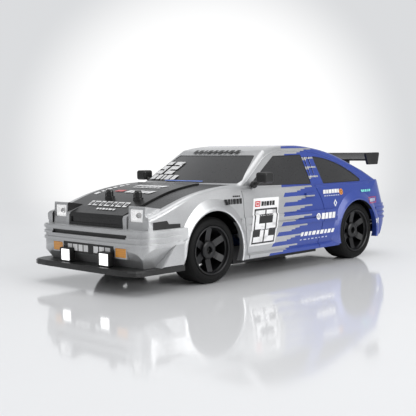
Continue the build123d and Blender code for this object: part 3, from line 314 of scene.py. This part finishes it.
def shell_paint():
    """Satin silver and gloss blue with a fine metallic flake under a thin clear coat."""
    paint = Shader("shell_paint", coat_roughness=0.1)
    blue, point = livery(paint)
    flake = paint.noise(point, 0.35, 3.0)
    drift = paint.noise(point, 22.0)
    sparkle = paint.ramp(flake, 0.35, 0.65, 0, 1)
    silver = paint.mix(sparkle, (0.50, 0.505, 0.51), (0.60, 0.605, 0.61))
    deep = paint.mix(sparkle, (0.026, 0.056, 0.30), (0.036, 0.074, 0.36))
    inside = inner_side(paint)
    bare = (0.006, 0.006, 0.006)
    paint.set("base_color", paint.mix(inside, paint.mix(blue, silver, deep), bare))
    shine = paint.ramp(blue, 0.0, 1.0, 0.65, 0.1)
    paint.set("metallic", paint.mul(shine, paint.sub(1.0, inside)))
    paint.set("coat_weight", paint.ramp(inside, 0.0, 1.0, 0.4, 0.0))
    paint.set("roughness", paint.add(paint.ramp(drift, 0.3, 0.7, 0.31, 0.38), paint.mul(inside, 0.25)))
    paint.bump(flake, 0.01)
    return paint.material


def moulded(name, colour, roughness, grain=0.5, depth=0.02, **settings):
    """Moulded plastic: a fine grain in gloss and height, and a broad drift in colour."""
    plastic = Shader(name, **settings)
    _, _, _, point = plastic.place()
    fine = plastic.noise(point, grain, 3.0)
    broad = plastic.noise(point, 14.0)
    light = tuple(min(1.0, c * 1.14 + 0.002) for c in colour)
    dark = tuple(c * 0.88 for c in colour)
    plastic.set("base_color", plastic.mix(plastic.ramp(broad, 0.3, 0.7, 0, 1), dark, light))
    plastic.set("roughness", plastic.ramp(fine, 0.3, 0.7, roughness * 0.86, min(1.0, roughness * 1.14)))
    plastic.bump(fine, depth)
    return plastic.material


def window_tint():
    """Dark semi-gloss glazing with a faint haze."""
    glass = Shader("window_tint", coat_weight=0.6, coat_roughness=0.06)
    _, _, _, point = glass.place()
    haze = glass.noise(point, 30.0, 1.0)
    depth = glass.ramp(haze, 0.3, 0.7, 0, 1)
    glass.set("base_color", glass.mix(depth, (0.020, 0.020, 0.021), (0.030, 0.030, 0.031)))
    glass.set("roughness", glass.ramp(glass.noise(point, 0.8), 0.3, 0.7, 0.27, 0.33))
    glass.bump(haze, 0.02)
    return glass.material


CROWN_START = 19.9   # radius where the sidewall's rings give way to the scuffed crown
CROWN_FULL = 20.4    # radius of the fully scuffed crown
RING_PITCH = 1.05    # from one moulded ring of the sidewall to the next


def tyre_rubber(name, axle):
    """Black tyre compound: fine grain, scuffed crown and moulded rings on the sidewall."""
    rubber = Shader(name, specular=0.2)
    _, y, z, point = rubber.place()
    from_axle = rubber.sub(y, axle)
    up = rubber.sub(z, AXLE_HEIGHT)
    square = rubber.add(rubber.mul(from_axle, from_axle), rubber.mul(up, up))
    radius = rubber.math("SQRT", square)
    grain = rubber.noise(point, 0.45, 3.0)
    crown = rubber.ramp(radius, CROWN_START, CROWN_FULL, 0.0, 1.0)
    rings = rubber.math("SINE", rubber.mul(radius, 2 * pi / RING_PITCH))
    ring_height = rubber.mul(rubber.ramp(rings, 0.55, 0.85, 0.0, 1.0), rubber.sub(1.0, crown))
    rubber.set("base_color", rubber.mix(crown, (0.004, 0.004, 0.004), (0.009, 0.009, 0.009)))
    worn = rubber.ramp(grain, 0.3, 0.7, 0.50, 0.62)
    rubber.set("roughness", rubber.add(worn, rubber.mul(crown, 0.10)))
    rubber.bump(rubber.add(ring_height, rubber.mul(grain, 0.25)), 0.12)
    return rubber.material


def lens(name, colour, pitch=1.3, glow=0.0):
    """A ribbed lens with crossed flutes, with painted shade in the flutes' hollows."""
    part = Shader(name, roughness=0.16, coat_weight=0.5, coat_roughness=0.05)
    x, _, z, _ = part.place()
    across = part.math("PINGPONG", x, pitch / 2)
    upward = part.math("PINGPONG", z, pitch / 2)
    flutes = part.mul(part.math("MAXIMUM", across, upward), 2 / pitch)
    # The colour is darker in the flutes' hollows and full on their crests: painted shade that follows the
    # bump.
    part.set("base_color", part.mix(flutes, tuple(c * 0.8 for c in colour), colour))
    part.bump(flutes, 0.15)
    if glow > 0:
        part.set("emission_color", colour)
        part.set("emission_strength", glow)
    return part.material


def metal(name, colour, roughness, stretch=(1.0, 1.0, 1.0)):
    """Machined metal with fine lines, drawn out along an axis whose stretch is below 1."""
    part = Shader(name, metallic=1.0)
    _, _, _, point = part.place()
    lines = part.node("ShaderNodeVectorMath", (point, stretch), operation="MULTIPLY").outputs[0]
    scratch = part.noise(lines, 0.6, 4.0)
    wear = part.ramp(scratch, 0.3, 0.7, 0, 1)
    part.set("base_color", part.mix(wear, tuple(c * 0.85 for c in colour), colour))
    part.set("roughness", part.ramp(scratch, 0.3, 0.7, roughness * 0.8, roughness * 1.25))
    part.bump(scratch, 0.01)
    return part.material


def decal_film(name, colour):
    """Printed vinyl: near-flat colour with a fine print grain."""
    return moulded(name, colour, 0.32, grain=0.3, depth=0.004, coat_weight=0.3, coat_roughness=0.1)


def dress(material, *names):
    """Gives a material to CAD nodes."""
    for name in names:
        data = nodes[name].data
        if not data.materials:
            data.materials.append(material)
        for n in range(len(data.materials)):
            data.materials[n] = material


def dress_nodes():
    """Gives every CAD node its material."""
    dress(shell_paint(), "body_shell", "headlamp_housings")
    dress(moulded("bonnet_black", (0.012, 0.012, 0.012), 0.30, depth=0.006), "bonnet", "grille_panel")
    dress(window_tint(), "windscreen", "hatch_window", "door_windows", "quarter_windows")
    trim = moulded("trim_black", (0.013, 0.013, 0.013), 0.38)
    dress(trim, "bumper_vent", "side_markers", "fog_lamp_cases", "splitter", "door_mirrors",
          "wing_blade", "wing_end_plates", "wing_struts")
    dress(moulded("plate_black", (0.010, 0.010, 0.010), 0.4), "bumper_plate")
    dress(moulded("stud_black", (0.006, 0.006, 0.006), 0.16, coat_weight=0.5),
          "bonnet_stud_left", "bonnet_stud_right")
    dress(metal("mirror_film", (0.8, 0.82, 0.84), 0.06), "mirror_glasses")
    # The headlamp reflectors' faint white emission is a painted glow for the light they reflect, not a lit
    # lamp.
    dress(moulded("lamp_white", (0.86, 0.86, 0.86), 0.25, emission_color=(1, 1, 1), emission_strength=0.25),
          "headlamp_reflectors")
    dress(lens("fog_glow", (1.0, 1.0, 1.0), 1.6, glow=1.6), "fog_lamp_lenses")
    dress(led_resin(), "headlamp_leds")
    dress(lens("amber_lens", (0.85, 0.36, 0.05), 1.2), "indicators")
    dress(lens("red_lens", (0.42, 0.012, 0.012), 1.4), "tail_lamps")
    dress(moulded("rim_black", (0.007, 0.007, 0.008), 0.34, grain=0.7, depth=0.008),
          "rim_front_left", "rim_front_right", "rim_rear_left", "rim_rear_right")
    dress(tyre_rubber("tyre_front", FRONT_AXLE), "tyre_front_left", "tyre_front_right")
    dress(tyre_rubber("tyre_rear", REAR_AXLE), "tyre_rear_left", "tyre_rear_right")
    nylon = moulded("nylon_black", (0.022, 0.022, 0.023), 0.55, grain=0.4, depth=0.03)
    dress(nylon, "chassis_tub", "body_posts", "gearbox_lower", "gearbox_cover", "motor_end_cap",
          "front_beam", "knuckle_left", "knuckle_right", "steering_link", "servo", "servo_horn",
          "power_switch", "switch_slider")
    dress(moulded("gear_nylon", (0.62, 0.61, 0.56), 0.45), "spur_gear")
    dress(metal("bright_steel", (0.62, 0.63, 0.64), 0.28, (0.1, 1, 1)),
          "motor_can", "motor_shaft", "rear_axle", "rear_axle_bearings", "kingpins", "chassis_screws")
    dress(metal("black_steel", (0.10, 0.10, 0.10), 0.3),
          "wheel_screw_front_left", "wheel_screw_front_right", "rear_wheel_screws")
    dress(metal("brass", (0.72, 0.52, 0.22), 0.25), "motor_pinion")
    dress(metal("turned_aluminium", (0.75, 0.76, 0.77), 0.25), "rear_hex_hubs")
    dress(moulded("battery_wrap", (0.03, 0.09, 0.32), 0.3, coat_weight=0.3), "battery_pack")
    dress(moulded("board_green", (0.012, 0.11, 0.045), 0.4, coat_weight=0.4), "control_board")


def led_resin():
    """Clear lamp resin."""
    resin = Shader("led_resin", roughness=0.05, transmission=0.6, ior=1.5)
    _, _, _, point = resin.place()
    resin.set("base_color", resin.mix(resin.noise(point, 0.8), (0.62, 0.62, 0.62), (0.85, 0.85, 0.85)))
    return resin.material


# ---------------------------------------------------------------- printed marks
FILM_LIFT = 0.15               # how far each layer of film stands off the one below
GRID = 1.2                     # longest edge of a film's mesh
REACH_OVER = 0.7               # a film bridges steps this far either side
STAND_OFF = 200.0              # the drawing board is pushed in from this far out


def surface_of(*names):
    """A ray-castable copy of some CAD nodes."""
    points, faces = [], []
    for name in names:
        data = nodes[name].data
        start = len(points)
        points += [v.co.copy() for v in data.vertices]
        faces += [[start + i for i in face.vertices] for face in data.polygons]
    return BVHTree.FromPolygons(points, faces)


def add_piece(mesh, name, material, body, smooth=True):
    """Turns a bmesh in metres into one piece that rides on a body."""
    bmesh.ops.recalc_face_normals(mesh, faces=mesh.faces[:])
    data = bpy.data.meshes.new(name)
    mesh.to_mesh(data)
    mesh.free()
    piece = bpy.data.objects.new(name, data)
    bpy.context.scene.collection.objects.link(piece)
    data.materials.append(material)
    for face in data.polygons:
        face.use_smooth = smooth
    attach(piece, body)


class Panel:
    """A flat drawing board that is pressed on to a surface.

    origin is the board's zero in millimetres, across and up are its two directions, and the drawing
    is pushed against their cross product on to the surface.
    """

    def __init__(self, surface, origin, across, up):
        self.surface = surface
        self.origin = Vector(origin)
        self.across = Vector(across)
        self.up = Vector(up)
        self.out = self.across.cross(self.up).normalized()

    def pressed(self, place, layer):
        """Where a point of the board lands: on the outermost surface close to it."""
        best = None
        for nudge in (-REACH_OVER, 0.0, REACH_OVER):
            start = (place + self.up * nudge + self.out * STAND_OFF) * MM
            hit, _, _, run = self.surface.ray_cast(start, -self.out)
            if hit is not None and (best is None or run < best):
                best = run
        if best is None:
            return self.surface.find_nearest(place * MM)[0] + self.out * FILM_LIFT * layer * MM
        return (place + self.out * (STAND_OFF + FILM_LIFT * layer)) * MM - self.out * best

    def film(self, name, outlines, material, layer=1):
        """Closed outlines of (across, up) points become one thin printed film."""
        mesh = bmesh.new()
        for outline in outlines:
            mesh.faces.new([mesh.verts.new((a, b, 0.0)) for a, b in outline])
        bmesh.ops.triangulate(mesh, faces=mesh.faces[:])
        while True:
            long_edges = [e for e in mesh.edges if e.calc_length() > GRID]
            if not long_edges:
                break
            bmesh.ops.subdivide_edges(mesh, edges=long_edges, cuts=1)
            bmesh.ops.triangulate(mesh, faces=[f for f in mesh.faces if len(f.verts) > 3])
        for vert in mesh.verts:
            place = self.origin + self.across * vert.co.x + self.up * vert.co.y
            vert.co = self.pressed(place, layer)
        add_piece(mesh, name, material, "shell")

    def row(self, name, material, start, height, widths, gap, slant=0.0, layer=1):
        """A film of bars in a line, which stands for a line of print and starts at (across, up)."""
        outlines = []
        at, foot = start
        for width in widths:
            outlines.append(bar(at, at + width, foot, foot + height, slant))
            at += width + gap
        self.film(name, outlines, material, layer)


def bar(a0, a1, b0, b1, slant=0.0):
    """A bar from a0 to a1 across and b0 to b1 up, its top pushed sideways by slant."""
    return [(a0, b0), (a1, b0), (a1 + slant, b1), (a0 + slant, b1)]


def ring(a, b, radius, width, sides=24):
    """Outline pieces of a ring."""
    parts = []
    for n in range(sides):
        t0, t1 = 2 * pi * n / sides, 2 * pi * (n + 1) / sides
        inner = radius - width
        parts.append([
            (a + inner * cos(t0), b + inner * sin(t0)), (a + radius * cos(t0), b + radius * sin(t0)),
            (a + radius * cos(t1), b + radius * sin(t1)), (a + inner * cos(t1), b + inner * sin(t1)),
        ])
    return parts


def disc(a, b, radius, sides=24):
    """The outline of a disc."""
    turns = [2 * pi * n / sides for n in range(sides)]
    return [(a + radius * cos(t), b + radius * sin(t)) for t in turns]


def frame_of(a0, a1, b0, b1, line, slant=0.0):
    """Four strips round a box."""
    lean = slant / (b1 - b0)
    return [
        bar(a0, a1, b0, b0 + line, lean * line),
        bar(a0 + slant - lean * line, a1 + slant - lean * line, b1 - line, b1, lean * line),
        bar(a0, a0 + line, b0, b1, slant),
        bar(a1 - line, a1, b0, b1, slant),
    ]


DIGIT_STROKES = {
    "2": ("top", "high_right", "middle", "low_left", "bottom"),
    "5": ("top", "high_left", "middle", "low_right", "bottom"),
}


def digit(which, a, b, width, height, stroke, lean):
    """A block digit of straight strokes, leaning by lean per unit of height."""
    half = height / 2
    boxes = {
        "top": (0, width, height - stroke, height),
        "middle": (0, width, half - stroke / 2, half + stroke / 2),
        "bottom": (0, width, 0, stroke),
        "high_left": (0, stroke, half, height),
        "high_right": (width - stroke, width, half, height),
        "low_left": (0, stroke, 0, half),
        "low_right": (width - stroke, width, 0, half),
    }
    parts = []
    for stroke_name in DIGIT_STROKES[which]:
        x0, x1, z0, z1 = boxes[stroke_name]
        shift = a + lean * z0
        parts.append(bar(shift + x0, shift + x1, b + z0, b + z1, lean * (z1 - z0)))
    return parts


def build_side_marks(films):
    """Number panel and rows of plain blocks on both flanks."""
    skin = surface_of("body_shell")
    for side, name in ((1, "left"), (-1, "right")):
        # On the left the drawing runs to the tail. On the right it runs to the nose.
        def board(y, z):
            """A drawing board whose zero is y behind the middle of the wheelbase and z up."""
            return Panel(skin, (0, MIDDLE + y, z), (0, side, 0), (0, 0, 1))

        def start(y, length):
            """The reading start of a mark that begins y behind the middle."""
            return y if side > 0 else y + length

        panel = board(start(-43.4, 28.0), 19.8)
        panel.film(f"number_panel_{name}", [bar(0, 25.2, 0, 30.4, 5.2)], films["white"])
        lean = 5.2 / 30.4
        block = [bar(1.9, 24.0, 1.2, 23.6, 22.4 * lean)]
        panel.film(f"number_shade_{name}", block, films["black"], 2)
        digits = digit("5", 2.9, 2.2, 9.4, 20.4, 3.5, lean) + digit("2", 13.5, 2.2, 9.4, 20.4, 3.5, lean)
        panel.film(f"number_digits_{name}", digits, films["white"], 3)
        badge = frame_of(6.1, 10.9, 25.0, 28.6, 0.7, 0.6) + [bar(7.6, 9.8, 26.3, 27.4)]
        panel.film(f"number_badge_{name}", badge, films["red"], 2)
        panel.row(f"number_title_{name}", films["black"], (12.2, 25.3), 2.9,
                  (2.2, 1.6, 2.6, 2.0, 2.4), 0.55, 0.5, 2)

        rear = board(start(34.7, 22.0), 46.6)
        rear.row(f"mark_upper_{name}", films["white"], (0, 2.9), 2.7,
                 (3.0, 2.2, 3.4, 2.4, 3.0, 1.8), 0.5, 0.4)
        rear.row(f"mark_upper_line_{name}", films["pale"], (1.0, 1.0), 0.7, (1.8,) * 7, 0.8, 0.1)
        rear.film(f"mark_dot_{name}", [disc(21.0, 3.4, 2.2)], films["orange"])
        rear.film(f"mark_dot_core_{name}", ring(21.0, 3.4, 1.4, 0.4), films["black"], 2)
        rear.film(f"mark_diamond_{name}", [
            [(11.6, -4.2), (13.4, -6.8), (15.4, -4.2), (13.5, -1.4)],
        ], films["white"])
        rear.film(f"mark_diamond_core_{name}", [
            [(12.6, -4.2), (13.4, -5.5), (14.4, -4.2), (13.5, -2.8)],
        ], films["blue"], 2)

        middle = board(start(24.6, 21.5), 31.8)
        oval = ring(2.2, 2.6, 2.3, 0.9) + [bar(1.6, 2.8, 1.4, 3.8, 0.4)]
        middle.film(f"mark_oval_{name}", oval, films["white"])
        middle.row(f"mark_middle_{name}", films["white"], (5.4, 0.4), 4.2, (3.4, 3.0, 3.4, 3.2), 0.8, 0.6)

        low = board(start(8.2, 37.0), 21.3)
        low.row(f"mark_low_{name}", films["white"], (0.4, 0.6), 2.7,
                (2.6, 3.4, 2.6, 3.8, 2.8, 3.6, 2.6, 3.2, 2.6), 1.2, 1.0)
        low.row(f"mark_low_line_{name}", films["pale"], (0.0, -2.2), 0.7,
                (2.0, 3.0, 1.6, 2.6, 2.0, 1.4, 2.4, 1.8), 1.9, 0.2)

        tail = board(start(79.5, 22.0), 38.6)
        tail.row(f"mark_teal_{name}", films["teal"], (0, 9.9), 1.7, (2.4, 1.5, 2.2, 1.5, 2.2), 0.6, 0.4)
        tail.film(f"mark_box_{name}", frame_of(7.8, 20.6, 1.2, 5.6, 0.45), films["red"])
        tail.row(f"mark_box_bars_{name}", films["pale"], (9.0, 2.3), 2.2,
                 (1.6, 1.3, 1.8, 1.3, 1.6), 0.5, 0.3)
        corner = board(start(92.6, 11.0), 23.4)
        corner.film(f"mark_corner_dot_{name}", ring(2.4, 2.6, 2.2, 0.8), films["white"])
        corner.row(f"mark_corner_{name}", films["white"], (5.4, 0.6), 4.0, (2.0, 2.0), 0.6)

        wing = board(start(-65.4, 16.4), 47.6)
        wing.row(f"mark_fender_{name}", films["black"], (0.3, 0.2), 3.3,
                 (2.6, 2.2, 1.2, 2.4, 2.2, 2.2), 0.6, 0.3)
        wing.row(f"mark_fender_line_{name}", films["black"], (8.6, 4.6), 0.8,
                 (1.4, 1.0, 1.6, 1.2), 0.4, 0.1)


def build_front_marks(films):
    """Marks on the bonnet, windscreen, header and front plate."""
    bonnet = surface_of("bonnet", "body_shell")
    deck = Panel(bonnet, (0, MIDDLE, 0), (1, 0, 0), (0, 1, 0))
    deck.row("mark_bonnet_front", films["white"], (-20.0, -117.2), 6.6,
             (2.6, 5.0, 3.6, 5.4, 2.8, 5.6, 4.0), 1.4, -3.0)
    deck.row("mark_bonnet_front_cut", films["bonnet"], (-19.6, -115.6), 3.2,
             (1.2, 3.6, 2.2, 4.0, 1.4, 4.2, 2.6), 2.8, -1.5, 2)
    deck.row("mark_bonnet_line", films["white"], (-6.0, -121.8), 1.8,
             (2.2, 1.6, 2.6, 1.8, 3.0, 2.0), 0.9, -0.6)
    deck.row("mark_bonnet_upper", films["white"], (-18.0, -80.6), 4.4, (5.0, 3.6, 6.2, 4.0, 6.0), 0.9, 1.6)
    deck.row("mark_bonnet_upper_line", films["white"], (-16.0, -84.2), 1.9,
             (3.0, 2.2, 3.6, 2.4, 3.4, 2.6, 3.0), 1.0, 0.6)
    deck.film("mark_bonnet_badge", [bar(-21.5, -13.5, -94.4, -91.0, 1.2)], films["red"])
    deck.row("mark_bonnet_lower", films["white"], (-10.2, -95.6), 4.6, (4.6, 3.4, 4.8, 3.6, 4.6), 0.9, 1.4)
    column = Panel(bonnet, (-36.0, MIDDLE - 98.0, 0), (0.06, 1, 0), (-1, 0.06, 0))
    column.row("mark_bonnet_edge", films["white"], (0, 0), 4.0, (4.0, 2.2, 4.2, 3.0, 4.0, 2.6), 1.6, 0.8)
    screen = Panel(surface_of("windscreen"), (0, 0, 0), (1, 0, 0), (0, 0, 1))
    number = []
    for which, a in (("5", -43.4), ("2", -31.4)):
        number += digit(which, a, 65.2, 9.2, 8.0, 2.1, 0.28)
    screen.film("mark_screen_number", number, films["white"])
    screen.row("mark_screen_line", films["white"], (-41.6, 61.7), 2.9, (5.0, 4.4, 2.4, 5.2, 4.6), 1.6, 0.9)
    screen.film("mark_screen_strip", [bar(-22.0, 15.0, 60.96, 61.5)], films["sky"])
    header = Panel(surface_of("body_shell"), (0, 0, 0), (1, 0, 0), (0, 0, 1))
    widths = (3.2, 4.0, 2.4, 3.8, 3.4, 4.2, 2.6, 4.0, 3.4)
    header.row("mark_header", films["black"], (-22.0, 79.0), 2.1, widths, 1.5, 0.7)
    plate = Panel(surface_of("bumper_plate"), (0, 0, 0), (1, 0, 0), (0, 0, 1))
    plate.row("mark_plate", films["white"], (-20.4, 21.6), 4.0, (4.4, 4.6, 4.2, 4.4), 0.9)
    plate.row("mark_plate_second", films["white"], (5.2, 21.6), 4.0, (4.6, 4.8, 4.8), 0.9)


def build_marks():
    """Every printed mark, in a small set of film colours."""
    films = {
        "white": decal_film("film_white", WHITE),
        "pale": decal_film("film_pale", (0.55, 0.60, 0.75)),
        "black": decal_film("film_black", (0.012, 0.012, 0.012)),
        "red": decal_film("film_red", (0.62, 0.03, 0.04)),
        "orange": decal_film("film_orange", (0.78, 0.30, 0.05)),
        "teal": decal_film("film_teal", (0.20, 0.66, 0.62)),
        "sky": decal_film("film_sky", (0.12, 0.22, 0.66)),
        "blue": decal_film("film_blue", BLUE),
        "bonnet": decal_film("film_bonnet", (0.028, 0.027, 0.026)),
    }
    build_side_marks(films)
    build_front_marks(films)


# ---------------------------------------------------------------- added trim
TUBE_SIDES = 8
TURNED_SIDES = 48


def smooth_run(points, step=1.2):
    """Points along a soft curve through the given points, about step millimetres apart."""
    ends = [points[0]] + list(points) + [points[-1]]
    run = []
    for before, a, b, after in zip(ends, ends[1:], ends[2:], ends[3:]):
        p0, p1, p2, p3 = Vector(before), Vector(a), Vector(b), Vector(after)
        parts = max(2, int((p2 - p1).length / step))
        for n in range(parts):
            t = n / parts
            run.append(0.5 * (2 * p1 + (p2 - p0) * t + (2 * p0 - 5 * p1 + 4 * p2 - p3) * t ** 2
                              + (3 * p1 - p0 - 3 * p2 + p3) * t ** 3))
    run.append(Vector(points[-1]))
    return run


def straight_run(corners, step=1.5):
    """Points along the straight lines between corners, about step millimetres apart."""
    run = []
    for (y0, z0), (y1, z1) in zip(corners, corners[1:]):
        parts = max(2, int(((y1 - y0) ** 2 + (z1 - z0) ** 2) ** 0.5 / step))
        run += [(y0 + (y1 - y0) * k / parts, z0 + (z1 - z0) * k / parts) for k in range(parts)]
    return run + corners[-1:]


def bead(name, places, radius, material):
    """A round bead on the shell that follows places, which are points in metres."""
    mesh = bmesh.new()
    rings = []
    for n, place in enumerate(places):
        ahead = places[min(n + 1, len(places) - 1)] - places[max(n - 1, 0)]
        ahead.normalize()
        side = ahead.orthogonal().normalized() if n == 0 else (side - ahead * side.dot(ahead)).normalized()
        rise = ahead.cross(side)
        turns = [2 * pi * k / TUBE_SIDES for k in range(TUBE_SIDES)]
        rings.append([mesh.verts.new(place + (side * cos(t) + rise * sin(t)) * radius * MM) for t in turns])
    for one, two in zip(rings, rings[1:]):
        for k in range(TUBE_SIDES):
            mesh.faces.new((one[k], one[(k + 1) % TUBE_SIDES], two[(k + 1) % TUBE_SIDES], two[k]))
    mesh.faces.new(rings[0])
    mesh.faces.new(rings[-1])
    add_piece(mesh, name, material, "shell")


def on_flank(surface, side, points, sink=0.0):
    """Side-view (y, z) points, dropped on to one flank from outside."""
    places = []
    for y, z in points:
        start = mm(side * STAND_OFF, MIDDLE + y, z)
        hit = surface.ray_cast(start, Vector((-side, 0, 0)))[0]
        if hit is not None:
            places.append(hit - Vector((side, 0, 0)) * sink * MM)
    return places


def turned(name, profile, side, axle, material, body):
    """A round piece about an axle, from a closed (x, radius) profile for the car's left."""
    mesh = bmesh.new()
    rings = []
    for k in range(TURNED_SIDES):
        turn = 2 * pi * k / TURNED_SIDES
        rings.append([
            mesh.verts.new(mm(side * x, axle + radius * cos(turn), AXLE_HEIGHT + radius * sin(turn)))
            for x, radius in profile
        ])
    count = len(profile)
    for one, two in zip(rings, rings[1:] + rings[:1]):
        for n in range(count):
            mesh.faces.new((one[n], one[(n + 1) % count], two[(n + 1) % count], two[n]))
    add_piece(mesh, name, material, body, smooth=False)


# Closed outlines of (x, radius) points, on the car's left.
HUB_CAP = [(44.2, 2.3), (45.6, 2.3), (45.9, 2.7), (45.9, 4.6), (45.3, 5.5), (44.0, 5.8), (43.0, 5.8)]
RIM_LIP = [(47.4, 13.9), (48.2, 14.1), (48.5, 14.5), (48.4, 15.0), (47.6, 15.2), (47.0, 14.8)]


def build_wheel_trim():
    """A raised boss round each hub screw and a rolled lip on each rim."""
    dark = nodes["rim_front_left"].data.materials[0]
    for end, axle in (("front", FRONT_AXLE), ("rear", REAR_AXLE)):
        for side, name in ((1, "left"), (-1, "right")):
            body = f"wheel_{name}" if end == "front" else "driven_axle"
            turned(f"hub_boss_{end}_{name}", HUB_CAP, side, axle, dark, body)
            turned(f"rim_lip_{end}_{name}", RIM_LIP, side, axle, dark, body)


def build_trim():
    """Rails, ribs, creases and gaskets that are finer than the CAD shell."""
    paint = nodes["body_shell"].data.materials[0]
    rubber = moulded("gasket_black", (0.012, 0.012, 0.012), 0.45, grain=0.3, depth=0.01)
    skin = surface_of("body_shell", "door_windows", "quarter_windows", "windscreen")
    for side, name in ((1, "left"), (-1, "right")):
        rail = smooth_run([(-41.5, 60.6), (-30.0, 68.2), (-19.0, 75.4), (-8.5, 79.2), (4.0, 79.9),
                           (20.0, 79.8), (37.0, 78.2), (52.0, 73.8), (68.0, 67.2), (86.0, 58.8)])
        bead(f"drip_rail_{name}", on_flank(skin, side, rail, 0.15), 0.45, paint)
        for n, shift in enumerate((0.0, 4.4)):
            post = smooth_run([(26.0 + shift, 60.0), (23.6 + shift, 75.8)])
            rib = on_flank(skin, side, post, 0.1)
            bead(f"pillar_rib_{n + 1}_{name}", rib, 0.6, paint)
        crease = smooth_run([(-44.0, 56.2), (-20.0, 55.4), (20.0, 54.6), (60.0, 54.4), (92.0, 54.6)])
        bead(f"belt_crease_{name}", on_flank(skin, side, crease, 0.25), 0.42, paint)
        for label, window in (
            ("door", [(-38.0, 58.5), (-8.6, 76.5), (20.3, 76.8), (24.1, 57.1), (-38.0, 58.5)]),
            ("quarter", [(33.3, 75.3), (38.4, 56.9), (83.0, 56.8), (72.5, 63.6), (61.5, 68.9), (48.0, 73.2),
                         (33.3, 75.3)]),
        ):
            glazed = surface_of("body_shell", f"{label}_windows")
            places = on_flank(glazed, side, straight_run(window), 0.1)
            bead(f"{label}_gasket_{name}", places, 0.3, rubber)


# ---------------------------------------------------------------- put together
camera_place, camera_back = build_camera()
glow_way = (-camera_back + Vector((0, 0, 0.06))).normalized()
build_stage(camera_place, glow_way)
build_sky(glow_way)
softbox("overhead", (0, 100, 1400), (0, 0, 0), 1500, 1500, 11)
softbox("key", (1100, 200, 520), (0, 0, 40), 900, 800, 9)
softbox("fill", (-300, -1100, 500), (0, 0, 40), 900, 500, 2)
dress_nodes()
build_trim()
build_wheel_trim()
build_marks()

bpy.context.scene.view_settings.view_transform = "Standard"
